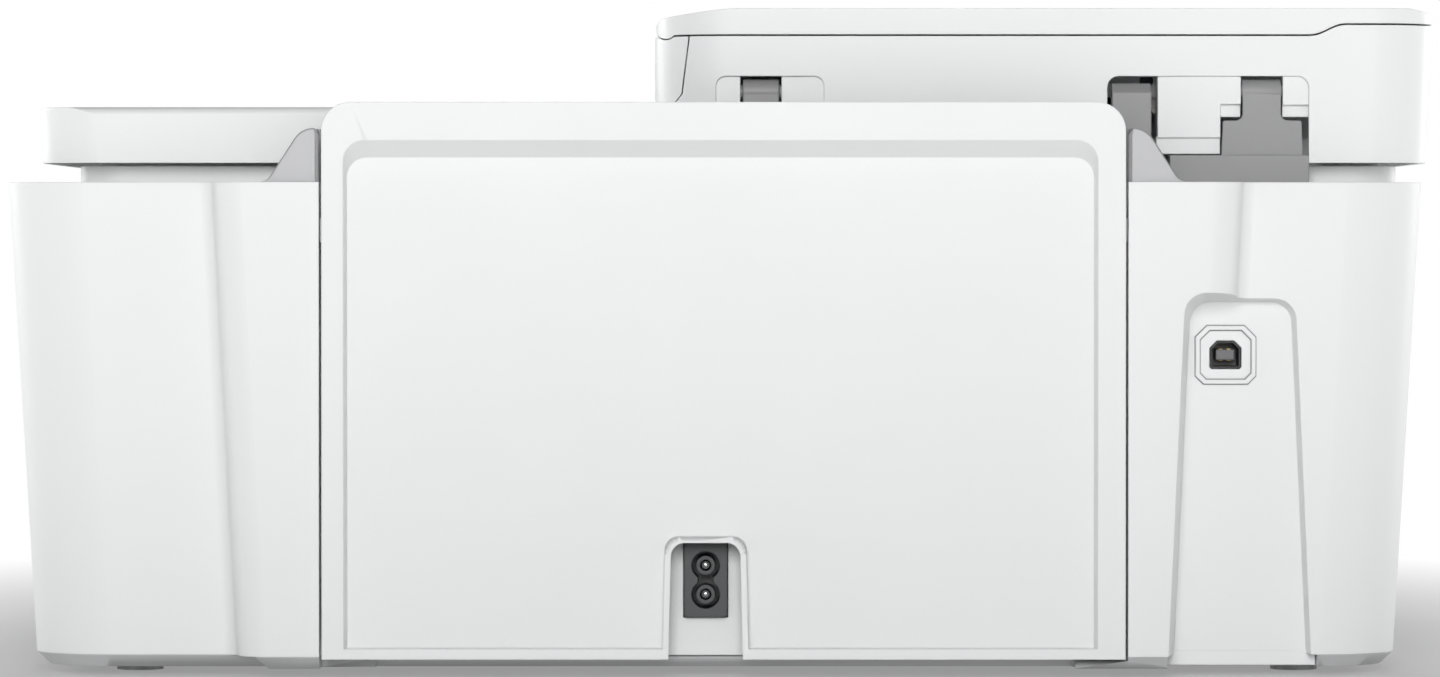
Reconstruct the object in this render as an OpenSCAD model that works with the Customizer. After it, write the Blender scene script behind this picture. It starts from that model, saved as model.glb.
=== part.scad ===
// Multifunction inkjet printer with a rear paper tray, a flatbed scanner and a document feeder.
// Millimetres. +Z is up, the control panel faces -Y, the rear faces +Y, the origin is under the middle.

/* [Body] */
// Overall height of the printer
top_z = 200; // [180:0.1:220]
// Height of the scanner and the lid above the body's deck
lid_h = 53.6; // [50:0.1:60]
// Distance of the +X side wall's top edge from the middle plane
body_left_x = 214.2; // [205:0.1:225]
// Distance of the -X side wall's top edge from the middle plane
body_right_x = 209.1; // [200:0.1:220]
// Front wall's distance in front of the origin
body_front_y = 160; // [150:0.5:170]
// Outer rear surface behind the origin
back_y = 151; // [146:0.5:154]
// Raised middle of the rear, behind the origin
wing_y = 162; // [160:0.5:164]
// Lower edge of the body's walls, where the pan begins
wall_z = 6.4; // [5:0.1:9]
// Underside of the pan
pan_z = 2.7; // [2:0.1:4]
// Plan radius of the body's corners
corner_r = 24; // [15:0.5:35]
// Lean of the side walls from the vertical, in degrees
side_lean = 3.35; // [0:0.05:5]
// Wall of the body shell
body_wall = 2.4; // [1.8:0.1:3.5]

/* [Rear wings] */
// Valley beside the left wing, at the deck
wing_left_x = 155.1; // [145:0.1:165]
// Valley beside the right wing, at the deck
wing_right_x = 157.4; // [150:0.1:165]
// Convex radius of a wing's ridge
ridge_r = 9; // [6:0.5:14]
// Concave radius of a wing's valley
valley_r = 4; // [2:0.5:8]
// Lean of the wing's flanks, in degrees
wing_lean = 3.0; // [0:0.1:5]
// Half width of the bay that the input tray stands in
bay_half = 119.2; // [116:0.1:124]

/* [Input tray] */
// Gap between the tray and each wall of its bay
tray_gap = 1; // [0.8:0.1:2]
// Lower edge of the tray
tray_z0 = 5.9; // [5:0.1:10]
// Height of the tray's upper edge above the deck
tray_rise = 23.4; // [15:0.1:28]
// Depth of the tray's rim, front to rear
tray_depth = 9; // [7:0.5:11]
// Rear face of the tray
tray_rear_y = 166; // [164:0.5:168]
// Moulded wall of the tray
tray_wall = 2.2; // [1.6:0.1:3]
// Outer corner radius of the tray
tray_corner_r = 8.5; // [4:0.5:14]
// Width of the tray's rim beside its recessed panel
tray_rim = 7.9; // [6:0.1:14]
// Depth of the tray's recessed panel
recess_depth = 5; // [2:0.1:6]
// Width of the tray's rim above its recessed panel
recess_drop = 11.2; // [8:0.1:16]
// Fall of the recess's sloped top wall
recess_slope = 5; // [2:0.5:8]
// Height of the recess's lower edge
recess_z0 = 9; // [7:0.1:14]
// Height of the tray's tilting pins
tray_pin_z = 11; // [10:0.1:14]
// Radius of the tray's tilting pins
tray_pin_r = 1.6; // [1:0.1:2]

/* [Mains inlet] */
// Inlet centre from the middle plane
inlet_x = 5.3; // [-10:0.1:10]
// Inlet centre height
inlet_z = 28.7; // [26:0.1:32]
// Width of the inlet's face
inlet_w = 12.9; // [12:0.1:14]
// Height of the inlet's face
inlet_h = 22; // [20:0.1:24]
// Spacing of the two inlet pins
pin_pitch = 8.6; // [8.6:0.1:8.7]
// Radius of each inlet pin
pin_r = 1.18; // [1:0.01:1.25]
// Half width of the tray's notch round the inlet
notch_half = 10.2; // [9:0.1:13]
// Top of the tray's notch
notch_z = 40.2; // [40:0.1:44]

/* [USB niche] */
// Port centre from the middle plane, towards -X
usb_x = -149.1; // [-152:0.1:-146]
// Port centre below the niche's top
usb_drop = 18.8; // [16:0.1:24]
// Width of the port's shell
usb_w = 9.1; // [8.4:0.1:12]
// Height of the port's shell
usb_h = 8.1; // [7.8:0.1:12]
// Top of the niche below the deck
niche_drop = 32.4; // [28:0.1:36]
// Inner side of the niche at its top
niche_x1 = -135.4; // [-138:0.1:-133]
// Outer side of the niche at its top
niche_x0 = -171.8; // [-175:0.1:-168]
// Spread of the niche's sides at its foot
niche_flare = 4.4; // [0:0.1:6]
// Depth coordinate of the niche's floor
niche_y = 145.6; // [140:0.1:147]
// Inset of the niche's floor from its mouth
niche_draft = 3; // [1:0.5:5]

/* [Lid and document feeder] */
// Lid's end on the +X side, at the slab's top
lid_left_x = 206.4; // [200:0.1:210]
// Lid's end on the -X side, at the feeder's top
lid_right_x = 214.2; // [210:0.1:218]
// Lid's rear wall behind the origin
lid_rear_y = 130; // [128:0.5:132]
// Lid's front wall in front of the origin
lid_front_y = 128; // [124:0.5:130]
// Lower edge of the lid's skirt above the deck
skirt_rise = 6; // [5.6:0.1:7.6]
// Top of the lid's low slab above the deck
slab_rise = 22.7; // [20.6:0.1:27]
// Seam of the document flap below the top
seam_drop = 9.6; // [8:0.1:12]
// End of the feeder's housing over the slab
feeder_x = 20.7; // [10:0.1:40]
// Lean of the lid's ends, in degrees
lid_lean = 2.6; // [0:0.1:4]
// Wall of the lid's mouldings
lid_wall = 2.2; // [1.6:0.1:3]
// Plan radius of the lid's corners
lid_corner_r = 18; // [10:0.5:24]

/* [Lid hinge] */
// Height of the lid's axis above the deck
hinge_rise = 27.4; // [25.6:0.1:28.6]
// Depth coordinate of the lid's axis
hinge_y = 125.6; // [124:0.1:126]
// Radius of the hinge knuckles
knuckle_r = 3.7; // [3:0.1:4.2]
// Radius of the hinge pins
hinge_pin_r = 2; // [1.5:0.1:2.5]
// Top of the windows in the lid's rear wall, above the lid's axis
window_rise = 4.6; // [4.2:0.1:8]

/* [Scanner] */
// Height of the scanner's neck
neck_rise = 5.2; // [3.6:0.1:5.3]
// Height of the scanner's bed
bed_rise = 13.8; // [11.6:0.1:14.6]
// Thickness of the glass
glass_t = 3; // [2:0.1:4]

/* [Print engine] */
// Depth coordinate of the feed roller
feed_y = 48; // [44:0.5:52]
// Height of the feed and output rollers
feed_z = 46; // [42:0.5:50]
// Radius of the feed roller
feed_r = 6; // [4:0.1:8]
// Gear module
gear_m = 1; // [0.8:0.1:1]
// Teeth of the feed roller's gear
feed_teeth = 40; // [40:4:40]
// Teeth of the idler gear
idler_teeth = 32; // [32:4:32]
// Teeth of the output roller's gear
output_teeth = 36; // [36:4:36]
// Radius of the carriage's guide rod
rod_r = 4; // [3:0.1:5]

/* [Front] */
// Half width of the front opening
mouth_half = 116; // [100:0.5:120]
// Lowest height of the front opening
mouth_z0 = 9; // [8:0.1:12]
// Lower edge of the cartridge door
door_z0 = 62; // [56:0.5:66]
// Travel of a button
button_travel = 0.8; // [0.4:0.1:1]

/* [Hidden] */

$fn = 64;
big = 400;
fit = 0.3;      // clearance between pieces that move past each other
run = 0.05;     // radial clearance of a shaft in its bearing
reach = 50;     // how far a leaning prism runs past its block, so that its slanted ends stay outside

deck_z = top_z - lid_h;
tray_half = bay_half - tray_gap;
tray_z1 = deck_z + tray_rise;
recess_half = tray_half - tray_rim;
recess_z1 = tray_z1 - recess_drop;
niche_z = deck_z - niche_drop;
usb_z = niche_z - usb_drop;
skirt_z = deck_z + skirt_rise;
slab_z = deck_z + slab_rise;
seam_z = top_z - seam_drop;
hinge_z = deck_z + hinge_rise;
window_z = hinge_z + window_rise;
neck_z = deck_z + neck_rise;
bed_z = deck_z + bed_rise;

// ---------- shared forms ----------

module box(x0, x1, y0, y1, z0, z1) translate([x0, y0, z0]) cube([x1 - x0, y1 - y0, z1 - z0]);

// Rounded rectangle with true arcs
module outline(x0, x1, y0, y1, r) {
  translate([x0 + r, y0]) square([x1 - x0 - 2 * r, y1 - y0]);
  translate([x0, y0 + r]) square([x1 - x0, y1 - y0 - 2 * r]);
  for (x = [x0 + r, x1 - r], y = [y0 + r, y1 - r]) translate([x, y]) circle(r);
}

// Block whose two ends lean inwards going down, with rounded plan corners; x0 and x1 are at z1
module leaning_block(x0, x1, y0, y1, z0, z1, r, lean) {
  intersection() {
    translate([x1, 0, z1]) rotate([0, lean, 0]) translate([-x1, 0, z0 - z1 - reach])
      linear_extrude(z1 - z0 + 2 * reach) outline(x0 - 60, x1, y0, y1, r);
    translate([x0, 0, z1]) rotate([0, -lean, 0]) translate([-x0, 0, z0 - z1 - reach])
      linear_extrude(z1 - z0 + 2 * reach) outline(x0, x1 + 60, y0, y1, r);
    box(x0 - 60, x1 + 60, y0 - 1, y1 + 1, z0, z1);
  }
}

// Extrusion along X of a profile drawn in Y and Z
module along_x(x0, x1) translate([x0, 0, 0]) rotate([90, 0, 90]) linear_extrude(x1 - x0) children();
// Extrusion along Y of a profile drawn in X and Z
module along_y(y0, y1) translate([0, y1, 0]) rotate([90, 0, 0]) linear_extrude(y1 - y0) children();

module rod_x(x0, x1, y, z, r) translate([x0, y, z]) rotate([0, 90, 0]) cylinder(h = x1 - x0, r = r);
module rod_y(y0, y1, x, z, r) translate([x, y1, z]) rotate([90, 0, 0]) cylinder(h = y1 - y0, r = r);

// Spur gear outline with straight flanks, a tooth on the +X axis and a little backlash
module gear_2d(teeth, m) {
  pitch_r = teeth * m / 2;
  half = 360 / teeth / 4;
  points = [for (i = [0 : teeth - 1], k = [[-1.35, -1.2], [-0.85, 0], [-0.42, 0.9], [0.42, 0.9], [0.85, 0], [1.35, -1.2]])
    let (a = i * 360 / teeth + k[0] * half, r = pitch_r + k[1] * m) [r * cos(a), r * sin(a)]];
  polygon(points);
}

// Rack outline along X with teeth upwards; the pitch line is at 0 and a gap is centred on 0
module rack_2d(x0, x1, m) {
  pitch = PI * m;
  first = ceil(x0 / pitch);
  last = floor(x1 / pitch) - 1;
  translate([x0, -3.2 * m]) square([x1 - x0, 2 * m]);
  for (i = [first : last]) translate([(i + 0.5) * pitch, 0])
    polygon([[-1.05 * m, -1.3 * m], [-0.66 * m, 0], [-0.36 * m, 0.85 * m],
             [0.36 * m, 0.85 * m], [0.66 * m, 0], [1.05 * m, -1.3 * m]]);
}

// ---------- body ----------

wing_step = wing_y - back_y;
wing_run = sqrt(2 * wing_step * (ridge_r + valley_r) - wing_step * wing_step);
pan_inset = wall_z - pan_z;
left_foot_x = body_left_x - (deck_z - wall_z) * tan(side_lean);
right_foot_x = body_right_x - (deck_z - wall_z) * tan(side_lean);
panel_slope_y = -132;
panel_slope_z = deck_z - 16.2;
slope_angle = atan((deck_z - panel_slope_z) / (body_front_y + panel_slope_y));
function slope_z(y) = deck_z + (y - panel_slope_y) * tan(slope_angle);
rear_wall_y = 150;
well_z = 46;
well_half = bay_half - 10.2;
rail_y1 = rear_wall_y + body_wall + 3.3;
well_y0 = 133.8;
slider_x0 = recess_half + tray_wall + 0.4;
slider_w = 2.6;

// Plan of the raised wing up to a valley at x, open towards -X
module wing_plan(x) {
  ridge_x = x - wing_run;
  translate([ridge_x - 2 * x, 100]) square([2 * x, wing_y - 100]);
  translate([ridge_x, wing_y - ridge_r]) circle(ridge_r);
  difference() {
    polygon([[ridge_x - 1, 100], [ridge_x - 1, wing_y - ridge_r], [ridge_x, wing_y - ridge_r],
             [x, back_y + valley_r], [x, 100]]);
    translate([x, back_y + valley_r]) circle(valley_r);
  }
}

module wing_block() {
  h = deck_z - wall_z;
  intersection() {
    translate([wing_left_x, 0, deck_z]) rotate([0, wing_lean, 0]) translate([-wing_left_x, 0, -h - reach])
      linear_extrude(h + 2 * reach) wing_plan(wing_left_x);
    mirror([1, 0, 0]) translate([wing_right_x, 0, deck_z]) rotate([0, wing_lean, 0])
      translate([-wing_right_x, 0, -h - reach]) linear_extrude(h + 2 * reach) wing_plan(wing_right_x);
    box(-big, big, 100, wing_y + 1, wall_z, deck_z);
  }
}

module body_solid() {
  difference() {
    union() {
      leaning_block(-body_right_x, body_left_x, -body_front_y, back_y, wall_z, deck_z, corner_r, side_lean);
      wing_block();
    }
    along_x(-big, big) polygon([[panel_slope_y, deck_z], [-body_front_y - 1, slope_z(-body_front_y - 1)],
                                [-body_front_y - 1, deck_z + 1], [panel_slope_y, deck_z + 1]]);
  }
}

module body_void() {
  w = body_wall;
  difference() {
    union() {
      leaning_block(-body_right_x + w, body_left_x - w, -body_front_y + w, back_y - w,
                    wall_z - 1, deck_z - w, corner_r - w, side_lean);
      box(-wing_right_x + wing_run + 9, wing_left_x - wing_run - 9, 100, wing_y - w, wall_z - 1, deck_z - w);
    }
    along_x(-big, big) translate([0, -w / cos(slope_angle)]) polygon([[panel_slope_y, deck_z],
      [-body_front_y - 1, slope_z(-body_front_y - 1)], [-body_front_y - 1, big], [panel_slope_y, big]]);
  }
}

// The arched niche round the USB port: mouth at the rear surface, floor at niche_y
module niche_form(grow, y_floor) {
  top_r = 6.5;
  hull() {
    for (p = [[wing_y + 2, 0], [y_floor, niche_draft]], s = [0, 1]) {
      x = s == 0 ? niche_x0 + p[1] - grow : niche_x1 - p[1] + grow;
      dir = s == 0 ? 1 : -1;
      translate([x + dir * (top_r + grow), p[0], niche_z - p[1] + grow - top_r - grow])
        rotate([90, 0, 0]) cylinder(h = 0.1, r = top_r + grow, $fn = 32);
      translate([x - dir * niche_flare, p[0] - 0.1, wall_z - 2]) cube([0.2, 0.1, 1]);
    }
  }
}

// Chamfered rectangle in X and Z with larger cuts at its top corners
module port_outline(w, h, top_cut, foot_cut) {
  polygon([[-w / 2 + foot_cut, -h / 2], [w / 2 - foot_cut, -h / 2], [w / 2, -h / 2 + foot_cut],
           [w / 2, h / 2 - top_cut], [w / 2 - top_cut, h / 2], [-w / 2 + top_cut, h / 2],
           [-w / 2, h / 2 - top_cut], [-w / 2, -h / 2 + foot_cut]]);
}

module at_usb(y0, y1) translate([usb_x, 0, usb_z]) along_y(y0, y1) children();
module at_inlet(y0, y1) translate([inlet_x, 0, inlet_z]) along_y(y0, y1) children();

screw_places = [[-188, -120], [190, -120], [-188, 120], [190, 120]];
boss_r = 4;
screw_r = 1.5;

frame_w = 17.8;
frame_h = 17.2;
frame_rise = 1.5;
frame_wall = 1.2;

module base_housing() color([0.93, 0.94, 0.94]) {
  w = body_wall;
  // raised frame round the USB port
  difference() {
    at_usb(niche_y - 0.5, niche_y + frame_rise) port_outline(frame_w, frame_h, 3.4, 2.4);
    at_usb(niche_y - 1, niche_y + 4)
      port_outline(frame_w - 2 * frame_wall, frame_h - 2 * frame_wall, 2.9, 1.9);
  }
  difference() {
    union() {
      difference() {
        body_solid();
        body_void();
      }
      // walls of the tray's bay
      for (s = [-1, 1]) mirror([s < 0 ? 1 : 0, 0, 0])
        box(bay_half, bay_half + w, rear_wall_y, wing_y - 1, wall_z, deck_z - 1);
      // rear wall behind the tray, low under the paper slot
      box(-bay_half - w, bay_half + w, rear_wall_y, rear_wall_y + w, wall_z, deck_z);
      // rails for the tray's slider
      for (s = [-1, 1]) mirror([s < 0 ? 1 : 0, 0, 0]) {
        box(slider_x0 - fit - 1.4, slider_x0 - fit, rear_wall_y + w - 1, rail_y1, 20, 100);
        box(slider_x0 + slider_w + fit, slider_x0 + slider_w + fit + 1.4,
            rear_wall_y + w - 1, rail_y1, 20, 100);
      }
      intersection() {
        niche_form(w, niche_y - w);
        body_solid();
      }
      for (p = screw_places) translate([p[0], p[1], wall_z])
        cylinder(h = deck_z - wall_z - 1, r = boss_r);
      // bearings of the cartridge door
      for (s = [-1, 1]) mirror([s < 0 ? 1 : 0, 0, 0])
        box(mouth_half, mouth_half + 5.5, -body_front_y + 1, door_axis_y + 4, door_axis_z - 4, door_axis_z + 4);
    }
    rod_x(-mouth_half - 4.4, mouth_half + 4.4, door_axis_y, door_axis_z, door_pin_r + run);
    niche_form(0, niche_y);
    at_usb(niche_y - 8, niche_y + 4) port_outline(usb_w + 0.4, usb_h + 0.4, 2.2, 0.6);
    // bay of the tray, behind the rear wall
    difference() {
      box(-bay_half, bay_half, rear_wall_y + w, wing_y + 2, wall_z - 1, deck_z + 1);
      for (s = [-1, 1]) mirror([s < 0 ? 1 : 0, 0, 0])
        for (x = [slider_x0 - fit - 1.4, slider_x0 + slider_w + fit])
          box(x, x + 1.4, rear_wall_y + w - 1, rail_y1, 20, 100);
    }
    // paper slot
    box(-well_half, well_half, rear_wall_y - 1, rear_wall_y + w + 1, well_z, deck_z + 1);
    box(-bay_half - 0.2, bay_half + 0.2, well_y0, rear_wall_y, deck_z - w - 1, deck_z + 1);
    // opening for the inlet
    at_inlet(rear_wall_y - 1, rear_wall_y + w + 1) square([inlet_w + 0.4, inlet_h + 0.4], center = true);
    // deck opening under the scanner
    box(-190.4, 182.4, -112.4, 98.4, deck_z - w - 1, deck_z + 1);
    // front opening
    box(-mouth_half, mouth_half, -body_front_y - 1, -body_front_y + w + 1, mouth_z0, door_top);
    for (p = screw_places) translate([p[0], p[1], wall_z - 1]) cylinder(h = 20, r = screw_r - 0.2);
  }
}

module base_pan() color([0.80, 0.81, 0.82]) {
  difference() {
    union() {
      hull() for (k = [[pan_z, pan_inset], [wall_z - 0.2, 0]]) translate([0, 0, k[0]]) linear_extrude(0.2)
        outline(-right_foot_x + k[1], left_foot_x - k[1], -body_front_y + k[1], back_y - k[1], corner_r - k[1]);
      for (s = [[1, wing_left_x], [-1, wing_right_x]]) mirror([s[0] < 0 ? 1 : 0, 0, 0]) hull()
        for (k = [[pan_z, pan_inset], [wall_z - 0.2, 0]]) {
          flank = s[1] - wing_run - (deck_z - wall_z) * tan(wing_lean) + 3 - k[1];
          translate([bay_half - 16, 100, k[0]]) cube([flank - bay_half + 16, wing_y - 100 - k[1], 0.2]);
        }
    }
    box(-190, 195, -150, 140, pan_z + 2.2, wall_z + 1);
    box(-104, bay_half, rear_wall_y, wing_y + 1, pan_z - 1, wall_z + 1);
    box(-bay_half, -100, rear_wall_y, wing_y + 1, tray_z0 - 0.7, wall_z + 1);
    for (p = screw_places) translate([p[0], p[1], pan_z - 1]) cylinder(h = 6, r = screw_r + 0.2);
    for (p = screw_places) translate([p[0], p[1], pan_z - 1]) cylinder(h = 1.8, r = screw_r + 1.6);
    for (p = foot_places) translate([p[0], p[1], pan_z - 1]) cylinder(h = 2, r = foot_r + 0.2);
  }
}

foot_places = [[-172, -130], [176, -130], [-172, 118], [176, 118]];
foot_r = 7;

module rubber_feet() color([0.2, 0.2, 0.21]) {
  for (p = foot_places) translate([p[0], p[1], 0]) {
    cylinder(h = pan_z + 1, r = foot_r);
  }
}

module case_screws() color([0.5, 0.5, 0.52]) {
  for (p = screw_places) translate([p[0], p[1], 0]) difference() {
    union() {
      translate([0, 0, pan_z - 0.8 + 0.2]) cylinder(h = 1.4, r = screw_r + 1.2);
      translate([0, 0, pan_z]) cylinder(h = 16, r = screw_r - 0.25);
    }
    translate([-1.8, -0.35, pan_z - 1.8]) cube([3.6, 0.7, 1.6]);
    translate([-0.35, -1.8, pan_z - 1.8]) cube([0.7, 3.6, 1.6]);
  }
}

// ---------- front ----------

panel_t = 3;
panel_half = 178;
front_y = 166;

// Places children on the control panel's slope: u runs along X, v up the slope, w out of it
module on_slope(u, v) translate([u, panel_slope_y, deck_z]) rotate([slope_angle, 0, 0])
  translate([0, v, panel_t]) children();

display_u = -120;
display_w = 46;
display_h = 20;
button_v = -17;
power_u = -165;
cancel_u = -78;
copy_u = -58;
button_size = 5;
pocket_depth = 2;

module control_panel() color([0.90, 0.91, 0.91]) difference() {
  along_x(-panel_half, panel_half)
    polygon([[panel_slope_y, deck_z], [panel_slope_y, deck_z + panel_t],
             [-front_y + 2.5, slope_z(-front_y + 2.5) + panel_t],
             [-front_y, slope_z(-front_y) + 0.6], [-front_y, door_top + 0.6], [-body_front_y, door_top + 0.6],
             [-body_front_y, slope_z(-body_front_y)]]);
  on_slope(display_u - display_w / 2, button_v - display_h / 2) translate([0, 0, -1.2])
    cube([display_w, display_h, 3]);
  for (u = [power_u, cancel_u, copy_u]) on_slope(u, button_v) translate([0, 0, -pocket_depth])
    cylinder(h = 4, r = button_size + 0.3);
}

module display_window() color([0.08, 0.08, 0.09])
  on_slope(display_u - display_w / 2 + 0.15, button_v - display_h / 2 + 0.15) translate([0, 0, -1.2])
    cube([display_w - 0.3, display_h - 0.3, 1.1]);

// A round key with a dished top
module key(u) on_slope(u, button_v) difference() {
  translate([0, 0, -pocket_depth + button_travel + 0.15]) cylinder(h = pocket_depth - button_travel + 0.75, r = button_size);
  translate([0, 0, 12.4]) sphere(r = 12);
}

module power_button() color([0.75, 0.76, 0.77]) key(power_u);
module cancel_button() color([0.75, 0.76, 0.77]) key(cancel_u);
module copy_button() color([0.75, 0.76, 0.77]) key(copy_u);

panel_wall = 7.6;
module front_panel() color([0.30, 0.31, 0.32]) difference() {
  box(-mouth_half + 0.2, mouth_half - 0.2, -body_front_y, -body_front_y + 30, mouth_z0 + 0.2, door_z0 - 3.4);
  box(-mouth_half + panel_wall, mouth_half - panel_wall, -body_front_y - 1, -body_front_y + 31, mouth_z0 + panel_floor, door_z0);
}

door_t = 3.2;
door_axis_y = -body_front_y + 3;
door_pin_r = 1.6;
door_axis_z = door_z0 + 2.4;
door_top = deck_z - 22.4;
module cartridge_door() color([0.93, 0.94, 0.94]) {
  x = mouth_half - 0.8;
  y0 = -body_front_y - door_t / 2;
  difference() {
    union() {
      along_y(y0, y0 + door_t) outline(-x, x, door_z0, door_top, 3);
      // lugs round the hinge pins
      for (s = [-1, 1]) along_x(s * (x - 4) - 4, s * (x - 4) + 4) {
        translate([door_axis_y, door_axis_z]) circle(2.6);
        translate([y0 + 1, door_axis_z - 2.4]) square([door_axis_y - y0 - 1, 5]);
      }
      rod_x(-mouth_half - 4, mouth_half + 4, door_axis_y, door_axis_z, door_pin_r);
    }
    box(-x + 8.5, x - 8.5, door_axis_y - 2, door_axis_y + 2, door_axis_z - 3, door_axis_z + 3);
    along_y(y0 + 2, y0 + door_t + 2) outline(-x + 10, x - 10, door_z0 + 7, door_top - 3, 2);
    // finger dip along the upper edge
    rod_x(-18, 18, y0 - 0.4, door_top - 1, 2.2);
  }
}

panel_floor = 2.4;
tray_z = mouth_z0 + panel_floor + fit;
tray_len = 128;
tray_w = mouth_half - panel_wall - fit;
module output_tray() color([0.86, 0.87, 0.88]) difference() {
  union() {
    translate([0, 0, tray_z]) linear_extrude(9) outline(-tray_w, tray_w, -body_front_y - 1, -body_front_y + tray_len, 5);
  }
  // paper bed, and the pocket for the extender beneath it
  translate([0, 0, tray_z + 6.5]) linear_extrude(4) outline(-tray_w + 3, tray_w - 3, -body_front_y + 3, -body_front_y + tray_len - 3, 4);
  box(-42.3, 42.3, -body_front_y - 2, -body_front_y + 100.3, tray_z + 1.8, tray_z + 5);
  box(-20, 20, -body_front_y - 2, -body_front_y + 12, tray_z + 4, tray_z + 10);
}

module tray_extender() color([0.80, 0.81, 0.82]) difference() {
  translate([0, 0, tray_z + 2.1]) linear_extrude(2.6) outline(-42, 42, -body_front_y - 1, -body_front_y + 98, 4);
  translate([0, 0, tray_z + 1.7]) linear_extrude(4) outline(-30, 30, -body_front_y + 14, -body_front_y + 78, 6);
}

// ---------- scanner ----------

neck_x1 = 194.9;
neck_x0 = -203.8;
bed_x1 = 190;
bed_x0 = -200;
bed_y0 = -121;
bed_y1 = 104;
neck_y0 = -123;
neck_y1 = 120;
tub_z0 = deck_z - 6.8;
glass_x0 = -132;
glass_x1 = 178;
strip_x0 = -150;
strip_x1 = -138;
glass_y0 = -117;
glass_y1 = 100;
ledge = 2.5;
scan_rod_y = 92;
scan_rod_z = deck_z + 1;
scan_rod_r = 2.5;

module scanner_base() color([0.90, 0.91, 0.91]) difference() {
  union() {
    translate([0, 0, deck_z]) linear_extrude(neck_z - deck_z) outline(neck_x0, neck_x1, neck_y0, neck_y1, 14);
    translate([0, 0, deck_z]) linear_extrude(bed_z - deck_z) outline(bed_x0, bed_x1, bed_y0, bed_y1, 10);
    box(-190, 182, -112, 98, tub_z0, deck_z + 1);
  }
  box(-187.6, 179.6, -109.6, 95.6, tub_z0 + 2, bed_z - glass_t - 1.2);
  box(glass_x0, glass_x1, glass_y0, glass_y1, bed_z - glass_t, bed_z + 1);
  box(strip_x0, strip_x1, glass_y0, glass_y1, bed_z - glass_t, bed_z + 1);
  box(glass_x0 + ledge, glass_x1 - ledge, -109.5, 95.5, bed_z - glass_t - 2, bed_z + 1);
  box(strip_x0 + 1.5, strip_x1 - 1.5, -109.5, 95.5, bed_z - glass_t - 2, bed_z + 1);
  rod_x(-189, -187, scan_rod_y, scan_rod_z, scan_rod_r);
  rod_x(179, 181, scan_rod_y, scan_rod_z, scan_rod_r);
}

module scanner_glass() color([0.75, 0.82, 0.84, 0.5]) {
  box(glass_x0 + 0.15, glass_x1 - 0.15, glass_y0 + 0.15, glass_y1 - 0.15, bed_z - glass_t, bed_z);
  box(strip_x0 + 0.15, strip_x1 - 0.15, glass_y0 + 0.15, glass_y1 - 0.15, bed_z - glass_t, bed_z);
}

module scan_rail() color([0.6, 0.61, 0.62]) rod_x(-189, 181, scan_rod_y, scan_rod_z, scan_rod_r);

module scan_carriage() color([0.15, 0.15, 0.16]) {
  x0 = -174;
  difference() {
    union() {
      box(x0, x0 + 22, -106, 93, tub_z0 + 2.4, bed_z - glass_t - 1.7);
    }
    rod_x(x0 - 1, x0 + 23, scan_rod_y, scan_rod_z, scan_rod_r + run);
    box(x0 - 1, x0 + 23, scan_rod_y - 1.2, scan_rod_y + 6, tub_z0, scan_rod_z);
    box(x0 + 8, x0 + 14, -104, 86, bed_z - glass_t - 3.2, bed_z);
    box(x0 + 2, x0 + 20, -104, 86, tub_z0 + 2, tub_z0 + 5);
  }
}

// ---------- paper well ----------

well_wall = 2;
cheek_top = deck_z + 15.6;
ear_x1 = bay_half + 17.8;
module ear_profile() {
  // S curve from the ear's flat top down to the deck, in two tangent arcs
  rise = cheek_top - deck_z;
  x_top = bay_half + 4.6;
  run_x = ear_x1 - x_top;
  r = (run_x * run_x + rise * rise) / (4 * rise);
  n = 8;
  sweep = 2 * atan(rise / run_x);
  upper = [for (i = [0 : n]) let (a = i / n * sweep) [x_top + r * sin(a), cheek_top - r * (1 - cos(a))]];
  lower = [for (i = [n - 1 : -1 : 0]) let (a = i / n * sweep) [ear_x1 - r * sin(a), deck_z + r * (1 - cos(a))]];
  polygon(concat([[bay_half + 0.2, deck_z], [bay_half + 0.2, cheek_top]], upper, lower));
}

module paper_well() color([0.77, 0.77, 0.78]) {
  for (s = [-1, 1]) mirror([s < 0 ? 1 : 0, 0, 0]) difference() {
    along_y(well_y0 + 1, wing_y - 4) ear_profile();
    along_y(well_y0 + 3, wing_y - 6.2) intersection() {
      translate([-1.8, -1.8]) ear_profile();
      translate([bay_half + 2.2, deck_z + 0.0]) square([40, 40]);
    }
  }
  difference() {
    union() {
      box(-bay_half, bay_half, well_y0, well_y0 + well_wall, well_z, deck_z + 4);
      for (s = [-1, 1]) mirror([s < 0 ? 1 : 0, 0, 0]) {
        box(well_half + 2.2, well_half + 4.2, well_y0, rear_wall_y - 0.2, well_z, deck_z + 4);
        box(well_half + 2.2, bay_half + 0.2, well_y0, rear_wall_y - 0.2, deck_z + 2, deck_z + 4);
      }
      // curved floor that turns the sheets forwards
      difference() {
        box(-well_half - 4, well_half + 4, well_y0, rear_wall_y - 0.2, well_z - 4.4, well_z + 2);
        rod_x(-well_half - 5, well_half + 5, well_y0 + 1, well_z + 9, 13);
      }
    }
    // window for the pickup roller, and slots for the width guides
    box(-26, 26, well_y0 - 1, well_y0 + well_wall + 1, well_z - 1, 78);
    for (s = [-1, 1]) mirror([s < 0 ? 1 : 0, 0, 0])
      box(well_half - 55, well_half + 0.5, well_y0 - 1, well_y0 + well_wall + 1, rack_mid_z - 12, rack_mid_z + 12);
  }
}

rack_mid_z = 108;
guide_z0 = well_z + 16;
guide_z1 = deck_z - 6.4;
pinion_teeth = 12;
pinion_r = pinion_teeth * gear_m / 2;
rack_y0 = 130.6;
rack_y1 = 132.8;

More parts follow.
